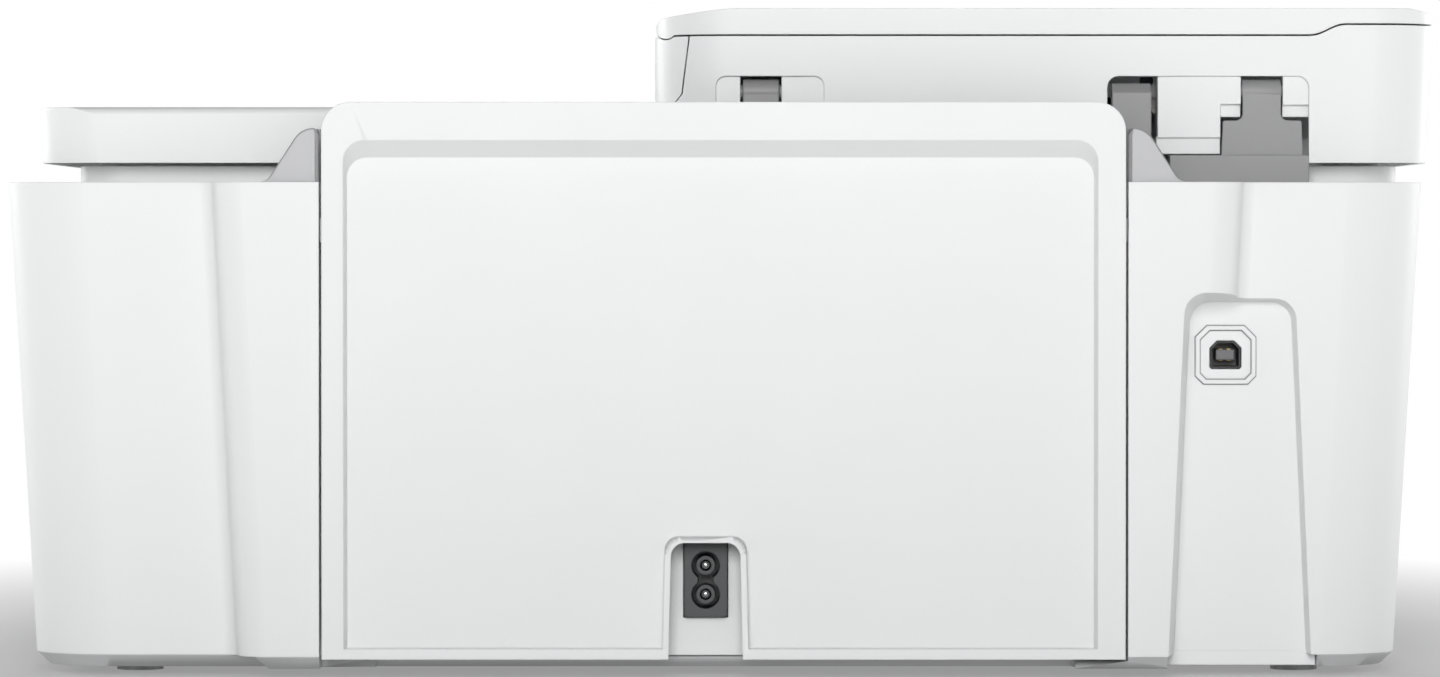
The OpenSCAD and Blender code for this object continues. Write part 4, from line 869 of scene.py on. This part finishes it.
@dataclass
class Studio:
    """Camera, surround, floor and lamps."""

    eye: Triple = (0.00106, 1.966, 0.1278)
    pitch: float = 0.874
    lens: float = 153.2
    sensor: float = 36.0
    clip: Pair = (0.05, 200.0)
    horizon: float = 0.07
    zenith: float = 0.2
    overhead: float = 0.08
    floor_radius: float = 90.0
    floor_sides: int = 96
    # Painted shade on the floor round the printer: where its darker colour ends, and its painted glow.
    floor_near: float = 0.22
    floor_far: float = 0.42
    floor_reach: float = 0.35
    floor_glow: float = 0.25
    floor_shade_colour: Colour = (0.48, 0.48, 0.48)
    floor_roughness: float = 0.8
    lamps: tuple[Lamp, ...] = (
        Lamp("rear_key", (0.1, 2.7, 0.8), 0.9, 37.0),
        Lamp("rear_high", (0.0, 1.7, 2.0), 1.2, 3.0),
        Lamp("side_left", (2.8, 0.0, 0.6), 1.0, 8.0),
        Lamp("rim_left", (1.7, -1.3, 0.6), 0.8, 19.0),
        Lamp("side_right", (-2.8, 0.0, 0.6), 1.0, 8.0),
        Lamp("rim_right", (-1.7, -1.3, 0.6), 0.8, 19.0),
        Lamp("front_key", (-0.5, -2.5, 1.3), 1.0, 12.0),
        Lamp("top", (0.0, 0.2, 2.2), 1.6, 3.0),
    )

    def build(self) -> None:
        """Sets the whole studio."""
        bpy.context.scene.view_settings.view_transform = "Standard"
        self._camera()
        self._surround()
        self._floor()
        for lamp in self.lamps:
            lamp.build()

    def _camera(self) -> None:
        """A long lens level with the printer, behind it."""
        data = bpy.data.cameras.new("camera")
        data.lens, data.sensor_width = self.lens, self.sensor
        data.clip_start, data.clip_end = self.clip
        camera = placed("camera", data)
        camera.location = self.eye
        camera.rotation_euler = Euler((math.radians(90 - self.pitch), 0.0, math.radians(180)))
        bpy.context.scene.camera = camera

    def _surround(self) -> None:
        """A surround that is white at the horizon and dimmer overhead."""
        g = Graph("studio", bpy.data.worlds)
        _, _, up = g.axes("Generated")
        strength = 1.0 - up.ramp(self.horizon, self.zenith) * (1.0 - self.overhead)
        light = g.add("ShaderNodeBackground", None, {"Color": WHITE, "Strength": strength})
        bpy.context.scene.world = g.end(light, "ShaderNodeOutputWorld")

    def _floor(self) -> None:
        """A floor painted darker in a pool round the printer, which is painted shade and also dims the light
        it throws back onto it; it glows faintly there, painted light that lifts the shadow under the printer,
        and fully further out, where it runs out into the white surround.
        """
        bm = bmesh.new()
        bmesh.ops.create_circle(bm, cap_ends=True, radius=self.floor_radius, segments=self.floor_sides)
        mesh = written(bm, "floor")
        floor = placed("floor", mesh)
        g = Graph("pale_floor")
        x, y, _ = g.axes()
        # Painted shade: darker in a pool round the printer, stretched front to back, paling out to white
        # further off.
        away = (x * x + y * y * self.floor_reach).root().ramp(self.floor_near, self.floor_far)
        matt = {"Base Color": self.floor_shade_colour, "Roughness": self.floor_roughness, "Specular IOR Level": 0.0}
        near = g.add("ShaderNodeBsdfPrincipled", None, matt)
        far = g.add("ShaderNodeEmission", None, {"Color": WHITE, "Strength": 1.0})
        # Painted light: a quarter of the floor's light near the printer is its own glow, rising to all of it
        # far out.
        glow = away * (1.0 - self.floor_glow) + self.floor_glow
        both = g.add("ShaderNodeMixShader", None, {0: glow, 1: near.outputs[0], 2: far.outputs[0]})
        mesh.materials.append(g.end(both))


@dataclass
class Shell:
    """The body's mouldings: housing, pan, fronts and feet."""

    foot_low: Triple = (-175.9, 143.2, 3.0)
    foot_high: Triple = (-131.3, 145.6, 7.4)
    seam: float = 0.3
    bay_rear: float = 170.0
    door_ears: float = 66.0

    def build(self) -> None:
        """Builds the shell's pieces."""
        for part in self.parts():
            part.build()
        dress(Finish.WHITE, "base_housing")
        show("niche_foot", block(self.foot_low, self.foot_high), Finish.WHITE, "base", slot="white_plastic")
        (x0, y0, _), (x1, _, z1) = self.foot_low, self.foot_high
        bay = block((x0 - self.seam, y0 - self.seam, 0.0), (x1 + self.seam, self.bay_rear, z1))
        remade("base_pan", Finish.PAN, "base", "light_grey_plastic", (Work.CUT, bay))
        dress(Finish.FOOT, "rubber_feet")
        dress(Finish.STEEL, "case_screws")

    def parts(self) -> list[Moulded]:
        """The mouldings with their fillets; the door's stay above its hinge ears.

        Returns:
            One for each piece.
        """
        above = Round(0.5, (-FAR, -FAR, self.door_ears))
        return [
            Moulded("front_panel", Finish.CHARCOAL, "base", "inlet_plastic", (Round(0.5),)),
            Moulded("control_panel", Finish.WHITE, "base", "white_plastic", (Round(0.6),)),
            Moulded("cartridge_door", Finish.WHITE, "cartridge_door", "white_plastic", (above,)),
        ]


@dataclass
class RearTray:
    """The tall input tray with its slider, throat and paper guides, in millimetres."""

    rear: float = 166.0
    floor: float = 161.0
    sides: Pair = (-109.9, 111.7)
    foot: float = 9.0
    top: float = 158.6
    slope: float = 5.0
    draft: float = 0.7
    corner: float = 6.0
    edge: float = 0.45
    edge_steps: int = 4
    edge_at_foot: float = 0.3
    mouth_past: float = 0.5
    fill_sides: Pair = (1.0, 0.7)
    fill_foot: float = 0.8
    fill_top: float = 1.0
    fill_sunk: float = 0.5
    fill_shy: float = 0.02
    notch_x: float = 5.3
    notch_half: float = 10.2
    notch_z: Pair = (-1.0, 40.2)
    notch_y: Pair = (156.0, 168.0)
    notch_corner: float = 4.0
    notch_flare: float = 0.9
    rim: float = 1.8
    deck: float = 146.4
    deck_shy: float = 0.01
    ear: Pair = (120.5, 137.0)
    ear_top: float = 162.0
    ear_back: float = 1.6
    ear_slope: float = 57.0
    ear_radii: Pair = (6.5, 4.5)
    ear_steps: int = 10
    ear_y: Pair = (134.8, 158.0)
    old_ear_x: Pair = (119.45, 141.0)
    old_ear_y: Pair = (134.0, 159.0)
    old_ear_top: float = 163.0
    # Painted shadow behind each ear: how far it stands outside the ear, how far it reaches back towards the
    # tray and out at its foot, and how far it stops short of the ear's ends.
    shade: float = 0.35
    shade_back: float = 2.8
    shade_foot: float = 0.5
    shade_shy: float = 0.5

    def build(self) -> None:
        """Builds the tray's pieces."""
        remade("input_tray", Finish.WHITE, "input_tray", "white_plastic", (Work.JOIN, self._filler()),
               (Work.CUT, self._recess()), (Work.CUT, self._notch(0.0)))
        self._well()
        dress(Finish.WELL, "tray_slider")
        dress(Finish.HINGE, "paper_guide_left", "paper_guide_right")
        dress(Finish.ACETAL, "guide_pinion")

    def _filler(self) -> bpy.types.Mesh:
        """A slab that fills the recess before it is cut with its draft.

        Returns:
            The slab's mesh.
        """
        (x0, x1), (low, high) = self.sides, self.fill_sides
        outline = arch(x0 - low, x1 + high, self.foot - self.fill_foot, self.top + self.fill_top, self.corner)
        return loft((self.floor - self.fill_sunk, outline), (self.rear - self.fill_shy, outline))

    def _recess(self) -> bpy.types.Mesh:
        """The recess: sloped along its top, drafted at its sides and eased at its mouth.

        Returns:
            The solid that cuts the recess round the notch's rim.
        """
        (x0, x1), e, r = self.sides, self.edge, self.corner
        rings = [(self.floor, arch(x0 + self.draft, x1 - self.draft, self.foot, self.top - self.slope, r))]
        far = e / (self.rear - self.floor)
        x0, x1, z = x0 + self.draft * far, x1 - self.draft * far, self.top - self.slope * far
        rings.append((self.rear - e, arch(x0, x1, self.foot, z, r)))
        for k in range(1, self.edge_steps + 1):
            a = math.radians(90.0 * k / self.edge_steps)
            grow = e * (1.0 - math.cos(a))
            y = self.rear - e + e * math.sin(a)
            top = max(z + grow, self.top - (self.rear - y))
            rings.append((y, arch(x0 - grow, x1 + grow, self.foot - grow * self.edge_at_foot, top, r + grow)))
        rings.append((self.rear + self.mouth_past, rings[-1][1]))
        return carve(loft(*rings), (Work.CUT, self._notch(self.rim)))

    def _notch(self, grow: float) -> bpy.types.Mesh:
        """The inlet's notch, or the outside of its rim.

        Args:
            grow: How far the outline stands outside the notch.

        Returns:
            The solid that cuts it.
        """
        half, (foot, top) = self.notch_half + grow, self.notch_z
        outline = arch(self.notch_x - half, self.notch_x + half, foot, top + grow, self.notch_corner,
                       self.notch_flare)
        return loft(*((y, outline) for y in self.notch_y))

    def _ear(self, grow: float) -> Outline:
        """An ear's outline: flat top, an arc, a slope and an arc the other way down to the deck.

        Args:
            grow: How far the outline stands outside the ear.

        Returns:
            The corners in order.
        """
        (x0, x1), (r0, r1), lean = self.ear, self.ear_radii, math.radians(self.ear_slope)
        run = self.ear_top - self.deck - (r0 + r1) * (1.0 - math.cos(lean))
        start = x1 - (r0 + r1) * math.sin(lean) - run / math.tan(lean)
        steps = [lean * k / self.ear_steps for k in range(self.ear_steps + 1)]
        r0, r1 = r0 + grow, r1 - grow
        upper = [(start + r0 * math.sin(a), self.ear_top + grow - r0 * (1.0 - math.cos(a))) for a in steps]
        lower = [(x1 - r1 * math.sin(a) + grow * self.shade_foot, self.deck + r1 * (1.0 - math.cos(a)))
                 for a in reversed(steps)]
        back = x0 - grow * self.shade_back
        return [(back, self.deck), (back, self.ear_top - self.ear_back), *upper, *lower]

    def _well(self) -> None:
        """The throat with new ears, each over a slightly larger mid-grey piece of painted shadow that shows
        as a fine dark line along it.
        """
        steps = []
        (y0, y1), (low, high) = self.ear_y, self.old_ear_y
        ear, shadow_outline = self._ear(0.0), self._ear(self.shade)
        for side, name in ((1, "left"), (-1, "right")):
            if side < 0:
                ear, shadow_outline = mirrored(ear), mirrored(shadow_outline)
            x0, x1 = sorted(side * x for x in self.old_ear_x)
            old = block((x0, low, self.deck + self.deck_shy), (x1, high, self.old_ear_top))
            steps += [(Work.CUT, old), (Work.JOIN, loft((y0, ear), (y1, ear)))]
            # Painted shadow: a mid-grey copy of the ear's outline, a little larger, stands behind it and
            # shows as a dark line along its edge.
            show(f"ear_painted_shadow_{name}", loft((y0 + self.shade_shy, shadow_outline), (y1 - self.shade_shy, shadow_outline)),
                 Finish.HINGE, "base", slot="mid_grey_plastic")
        remade("paper_well", Finish.WELL, "base", "light_grey_plastic", *steps)


@dataclass
class Sockets:
    """The mains inlet and the USB port, in millimetres."""

    inlet: Pair = (5.3, 28.7)
    pin_pitch: float = 8.6
    pin_radius: float = 1.2
    pin_tip_y: float = 152.25
    pin_length: float = 6.0
    pin_dome: float = 0.55
    port: Pair = (-149.1, 95.2)
    tongue: Pair = (5.6, 3.2)
    tongue_rear_y: float = 144.5
    tongue_length: float = 8.0
    tongue_ease: float = 0.3
    contact: Pair = (1.0, 0.2)
    contact_x: float = 1.2
    contact_lift: float = 0.06
    contact_y: Pair = (7.5, 0.9)
    contact_ease: float = 0.05
    niche_floor: float = 145.6
    frame: Pair = (17.8, 17.2)
    frame_wall: float = 1.2
    # Painted shadow round the port's frame: the width of its lines, its corner cuts and how far it stands off
    # the floor.
    shadow_line: float = 0.28
    shadow_corners: Pair = (3.5, 2.5)
    shadow_thick: float = 0.03
    field_corners: Pair = (2.8, 1.8)
    field_thick: float = 0.12
    hole: Pair = (9.5, 8.5)
    hole_corners: Pair = (2.2, 0.6)
    plate_sunk: float = 0.2

    def build(self) -> None:
        """Dresses the sockets and adds their pins, tongue and frame lines of painted shadow."""
        self._pins()
        self._tongue()
        self._frame_shadow_lines()
        dress(Finish.INLET, "power_inlet")
        dress(Finish.CHARCOAL, "power_supply")
        dress(Finish.BLACK, "usb_port")
        dress(Finish.BOARD, "main_board")

    def _pins(self) -> None:
        """Plated sleeves with domed tips on the inlet's two pins."""
        r, tip = self.pin_radius, self.pin_tip_y
        dome = [(tip - r * self.pin_dome * (1.0 - math.cos(a)), r * math.sin(a))
                for a in (math.radians(d) for d in range(0, 91, 15))]
        foot = tip - self.pin_length
        for k, side in enumerate((-0.5, 0.5)):
            centre = (self.inlet[0], self.inlet[1] + side * self.pin_pitch)
            pin = lathe([*dome, (foot, r), (foot, 0.0)], centre)
            show(f"inlet_pin_{k}", pin, Finish.SHAFT, "base", slot="steel")

    def _tongue(self) -> None:
        """The port's grey tongue with two plated contacts above it and two below."""
        (x, z), (w, h), rear = self.port, self.tongue, self.tongue_rear_y
        outline = oblong(x, z, w, h)
        tongue = loft((rear - self.tongue_length, outline), (rear, outline), ease=self.tongue_ease)
        show("port_tongue", tongue, Finish.TONGUE, "base", slot="dark_plastic")
        y0, y1 = (rear - y for y in self.contact_y)
        for k, (across, up) in enumerate(((-1, 1), (1, 1), (-1, -1), (1, -1))):
            strip = oblong(x + across * self.contact_x, z + up * (h / 2 + self.contact_lift), *self.contact)
            contact = loft((y0, strip), (y1, strip), ease=self.contact_ease)
            show(f"port_contact_{k}", contact, Finish.GOLD, "base", slot="dark_plastic")

    def _octagon(self, w: float, h: float, top: float, foot: float) -> Outline:
        """A rectangle round the port with its corners cut off.

        Args:
            w: Its width.
            h: Its height.
            top: What is cut off its upper corners.
            foot: What is cut off its lower corners.

        Returns:
            The corners in order.
        """
        (x, z), w, h = self.port, w / 2, h / 2
        return [(x - w + foot, z - h), (x + w - foot, z - h), (x + w, z - h + foot), (x + w, z + h - top),
                (x + w - top, z + h), (x - w + top, z + h), (x - w, z + h - top), (x - w, z - h + foot)]

    def _plate(self, outline: Outline, thick: float) -> bpy.types.Mesh:
        """A plate on the niche's floor, open for the port.

        Args:
            outline: Its corners.
            thick: How far it stands off the floor.

        Returns:
            The plate's mesh.
        """
        hole = self._octagon(*self.hole, *self.hole_corners)
        y0 = self.niche_floor - self.plate_sunk
        return carve(loft((y0, outline), (self.niche_floor + thick, outline)),
                     (Work.CUT, loft((y0 - 1.0, hole), (y0 + 2.0, hole))))

    def _frame_shadow_lines(self) -> None:
        """Painted shadow: a thin mid-grey plate on the niche's floor shows as a fine dark line round the
        port's frame and another inside it, round the white plate over the field.
        """
        (w, h), inner, shadow_line = self.frame, 2 * self.frame_wall, 2 * self.shadow_line
        outside = self._octagon(w + shadow_line, h + shadow_line, *self.shadow_corners)
        inside = self._octagon(w - inner - shadow_line, h - inner - shadow_line, *self.field_corners)
        # Painted shadow: only the edges of this mid-grey plate show, as dark lines round the frame and inside
        # it.
        show("frame_painted_shadow", self._plate(outside, self.shadow_thick), Finish.HINGE, "base", slot="mid_grey_plastic")
        show("frame_field", self._plate(inside, self.field_thick), Finish.WHITE, "base", slot="white_plastic")


@dataclass
class Lid:
    """The scanner's lid with the document feeder, in millimetres."""

    pad_corner: float = 4.0
    pad_soft: float = 1.2
    pad_fill: float = 0.9
    pad_over: float = 0.35
    pad_wave: float = 0.04
    pad_waves: Pair = (0.11, 0.13)
    pad_calm: float = 12.0
    pad_near: tuple[float, ...] = (0.0, 0.12, 0.35, 0.7, 1.2, 2.0, 3.2, 5.0, 8.0, 14.0)
    pad_inner: int = 16
    deck: float = 146.4
    leg: Pair = (-173.2, -149.6)
    leg_arm: Pair = (-167.0, -155.6)
    leg_y: Pair = (122.0, 129.2)
    leg_flare: float = 0.7
    leg_rise: float = 18.7
    leg_r: float = 0.8
    leg_lap: float = 0.3
    shoulder_r: float = 2.2
    shoulder_steps: int = 8
    old_leg_past: Pair = (0.2, 0.4)
    old_leg_y: Pair = (121.9, 129.3)
    old_leg_z: Pair = (8.35, 19.4)

    def build(self) -> None:
        """Builds the lid's pieces."""
        for part in self.parts():
            part.build()
        self._right_arm()
        dress(Finish.WHITE, "lid", "document_flap")
        dress(Finish.CHARCOAL, "feeder_deck")
        self._pad()
        dress(Finish.ROLLER, "feeder_roller", "separation_roller", "exit_roller")
        dress(Finish.ACETAL, "feeder_gear", "separation_gear")
        dress(Finish.HINGE, "document_guide_rear", "document_guide_front")

    def parts(self) -> list[Moulded]:
        """The mouldings with their fillets.

        Returns:
            One for each piece.
        """
        return [
            Moulded("feeder_end_cover", Finish.WHITE, "lid", "white_plastic", (Round(0.3),)),
            Moulded("hinge_arm_left", Finish.HINGE, "base", "mid_grey_plastic", (Round(0.4),)),
            Moulded("cable_cover", Finish.HINGE, "base", "mid_grey_plastic", (Round(0.4),)),
        ]

    def _right_arm(self) -> None:
        """The right hinge arm: a wide leg whose shoulders run into the narrow arm through fillets."""
        top, r, f = self.deck + self.leg_rise, self.leg_r, self.shoulder_r
        quarter = [math.radians(90.0 * k / self.shoulder_steps) for k in range(self.shoulder_steps + 1)]
        half = []
        for edge, arm, side in zip(self.leg, self.leg_arm, (1, -1)):
            corner = [(edge + side * r * (1 - math.cos(a)), top - r + r * math.sin(a)) for a in quarter]
            fillet = [(arm - side * f * (1 - math.sin(a)), top + f * (1 - math.cos(a))) for a in quarter]
            foot, neck = (edge - side * self.leg_flare, self.deck), (arm, top + f + self.leg_lap)
            half.append([foot, *corner, *fillet, neck])
        outline = half[0] + list(reversed(half[1]))
        (x0, x1), (low, high) = self.leg, self.old_leg_past
        (y0, y1), (z0, z1) = self.old_leg_y, self.old_leg_z
        old = block((x0 - low, y0, self.deck + z0), (x1 + high, y1, self.deck + z1))
        remade("hinge_arm_right", Finish.HINGE, "base", "mid_grey_plastic", (Work.CUT, old),
               (Work.JOIN, loft(*((y, outline) for y in self.leg_y))))

    def _pad(self) -> None:
        """The foam pad under the lid: crowned, soft at its edges and closed all round."""
        low, high = (Vector(c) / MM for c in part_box("document_pad"))
        across, along = self._steps(low.x, high.x), self._steps(low.y, high.y)
        bm = bmesh.new()
        for under in (False, True):
            rows = [[bm.verts.new(self._pad_point(x, y, low, high, under)) for x in across] for y in along]
            for r0, r1 in zip(rows, rows[1:]):
                for k in range(len(r0) - 1):
                    bm.faces.new((r0[k], r0[k + 1], r1[k + 1], r1[k]))
        bmesh.ops.remove_doubles(bm, verts=bm.verts, dist=1e-7)
        bmesh.ops.recalc_face_normals(bm, faces=bm.faces)
        for face in bm.faces:
            face.smooth = True
        mesh = written(bm, "pad_form")
        pad = show("document_pad_piece", mesh, Finish.FILM, "lid", "document_pad", slot="pad_foam")

    def _steps(self, low: float, high: float) -> list[float]:
        """Places across the pad, close together near its edges.

        Args:
            low: Its low edge.
            high: Its high edge.

        Returns:
            The places in order.
        """
        near, count = self.pad_near, self.pad_inner
        inner = [low + near[-1] + (high - low - 2 * near[-1]) * k / count for k in range(1, count)]
        return [low + d for d in near] + inner + [high - d for d in reversed(near)]

    def _pad_point(self, x: float, y: float, low: Vector, high: Vector, under: bool) -> Vector:
        """A point of the pad's upper or lower sheet.

        Args:
            x: Its place across, in millimetres.
            y: Its place along, in millimetres.
            low: The pad's low corner.
            high: The pad's high corner.
            under: Whether it is on the lower sheet.

        Returns:
            The point in metres.
        """
        r = self.pad_corner
        cx = min(max(x, low.x + r), high.x - r)
        cy = min(max(y, low.y + r), high.y - r)
        away = Vector((x - cx, y - cy))
        if away.length > r:
            away *= r / away.length
            x, y = cx + away.x, cy + away.y
        inside = min(x - low.x, high.x - x, y - low.y, high.y - y)
        edge = max(0.0, r - away.length if away.length > 0.0 else inside)
        full, over, (rate_x, rate_y) = high.z - low.z, self.pad_over, self.pad_waves
        body = full * (1.0 - (1.0 - min(1.0, edge / self.pad_soft)) ** 2.0) ** 0.5
        wave = self.pad_wave * math.sin(x * rate_x) * math.sin(y * rate_y) * min(1.0, edge / self.pad_calm)
        rise = max(0.0, wave) - body * (1.0 - over) if under else body * over
        return Vector((x, y, high.z - full * over + rise)) * MM


@dataclass
class Scanner:
    """The scanner's bed."""

    rim_low: Triple = (-230.0, -140.0, 159.9)
    rim_high: Triple = (230.0, 140.0, 160.5)

    def build(self) -> None:
        """Builds the scanner's pieces, with a fillet round the top of its rim."""
        rim = Round(0.8, self.rim_low, self.rim_high)
        Moulded("scanner_base", Finish.WHITE, "base", "white_plastic", (rim,), 4).build()
        dress(Finish.GLASS, "scanner_glass")
        dress(Finish.SHAFT, "scan_rail")
        dress(Finish.BLACK, "scan_carriage")


@dataclass
class Engine:
    """The print engine and the paper path."""

    def build(self) -> None:
        """Dresses the engine's pieces."""
        dress(Finish.STEEL, "print_frame", "carriage_motor")
        dress(Finish.SHAFT, "carriage_rod")
        dress(Finish.RUBBER, "carriage_belt")
        dress(Finish.BLACK, "platen", "service_station", "print_carriage", "black_cartridge")
        dress(Finish.COLOUR, "colour_cartridge")
        dress(Finish.CHARCOAL, "black_latch", "colour_latch")
        dress(Finish.ROLLER, "feed_roller", "output_roller", "pickup_roller")
        dress(Finish.ACETAL, "feed_gear", "idler_gear", "output_gear", "pinch_rollers")
        dress(Finish.WELL, "output_tray", "tray_extender")


@dataclass
class Controls:
    """The display and the buttons of the control panel, in millimetres."""

    slope_y: float = -132.0
    slope_z: float = 146.4
    slope: float = math.atan2(16.2, 28.0)
    panel: float = 3.0
    key_v: float = -17.0
    dish_radius: float = 12.0
    dish_centre: float = 12.4
    stroke: float = 0.42
    stroke_step: float = 0.3
    print_lift: Pair = (0.03, -0.04)
    ring_radius: float = 1.55
    ring_down: float = 0.2
    ring_steps: int = 28

    def build(self) -> None:
        """Dresses the controls and prints the keys' marks."""
        self._mark("power_mark", -165.0, "power_button",
                   [self._ring(120.0, 420.0), [(0.0, 0.5), (0.0, 1.95)]])
        self._mark("cancel_mark", -78.0, "cancel_button",
                   [[(-1.2, -1.2), (1.2, 1.2)], [(-1.2, 1.2), (-0.3, 0.3)], [(0.3, -0.3), (1.2, -1.2)]])
        self._mark("copy_mark", -58.0, "copy_button",
                   [[(-1.7, -1.0), (-1.7, 1.8), (0.4, 1.8), (0.4, -1.0), (-1.7, -1.0)],
                    [(1.0, 1.0), (1.7, 1.0), (1.7, -1.8), (-0.5, -1.8), (-0.5, -1.5)]])
        low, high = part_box("display_window")
        screen = Screen("display_window", tuple(low), tuple(high)).build()
        frame["nodes"]["display_window"].material_slots[0].material = screen
        dress(Finish.KEY, "power_button", "cancel_button", "copy_button")

    def _ring(self, start: float, end: float) -> Outline:
        """Points along the power mark's open ring.

        Args:
            start: Where it begins, in degrees.
            end: Where it ends, in degrees.

        Returns:
            The points in order.
        """
        r, count = self.ring_radius, self.ring_steps
        angles = [math.radians(start + (end - start) * k / count) for k in range(count + 1)]
        return [(r * math.cos(a), r * math.sin(a) - self.ring_down) for a in angles]

    def _on_slope(self, u: float, v: float, w: float) -> Vector:
        """A point of the sloping panel.

        Args:
            u: Its place along the panel.
            v: Its place up the slope.
            w: Its height out of the panel.

        Returns:
            The point in metres.
        """
        out, sine, cosine = w + self.panel, math.sin(self.slope), math.cos(self.slope)
        y, z = self.slope_y + v * cosine - out * sine, self.slope_z + v * sine + out * cosine
        return Vector((u, y, z)) * MM

    def _fine(self, line: Outline) -> Outline:
        """Puts points on a line, close enough together to follow the dish.

        Args:
            line: An open line.

        Returns:
            The line with its new points.
        """
        fine = [line[0]]
        for (x0, y0), (x1, y1) in zip(line, line[1:]):
            count = max(1, math.ceil(math.hypot(x1 - x0, y1 - y0) / self.stroke_step))
            fine += [(x0 + (x1 - x0) * k / count, y0 + (y1 - y0) * k / count) for k in range(1, count + 1)]
        return fine

    def _mark(self, name: str, u: float, body: str, strokes: list[Outline]) -> None:
        """Prints strokes on a key's dished top.

        Args:
            name: The mark's name.
            u: The key's place along the panel.
            body: The key that it rides on.
            strokes: Open lines across the key, in millimetres from its centre.
        """
        bm = bmesh.new()
        for fine in map(self._fine, strokes):
            previous = None
            for k, (x, y) in enumerate(fine):
                (xa, ya), (xb, yb) = fine[max(0, k - 1)], fine[min(len(fine) - 1, k + 1)]
                half = self.stroke / 2 / math.hypot(xb - xa, yb - ya)
                pair = []
                across, up = (ya - yb) * half, (xb - xa) * half
                for px, py in ((x + across, y + up), (x - across, y - up)):
                    w = self.dish_centre - math.sqrt(self.dish_radius ** 2 - px * px - py * py)
                    pair.append([bm.verts.new(self._on_slope(u + px, self.key_v + py, w + lift))
                                 for lift in self.print_lift])
                if previous:
                    (a, b), (c, d) = previous, pair
                    for corners in ((a[0], b[0], d[0], c[0]), (b[1], a[1], c[1], d[1]),
                                    (a[1], a[0], c[0], c[1]), (b[0], b[1], d[1], d[0])):
                        bm.faces.new(corners)
                if previous is None or k == len(fine) - 1:
                    bm.faces.new((pair[0][0], pair[0][1], pair[1][1], pair[1][0]))
                previous = pair
        bmesh.ops.recalc_face_normals(bm, faces=bm.faces)
        show(name, written(bm, name), Finish.MARK, body, slot="dark_plastic")


def main() -> None:
    """Builds the printer and its studio in order."""
    Studio().build()
    for assembly in (Shell(), RearTray(), Sockets(), Lid(), Scanner(), Engine(), Controls()):
        assembly.build()
        LOG.info("%s is in place", type(assembly).__name__)


if __name__ == "__main__":
    main()
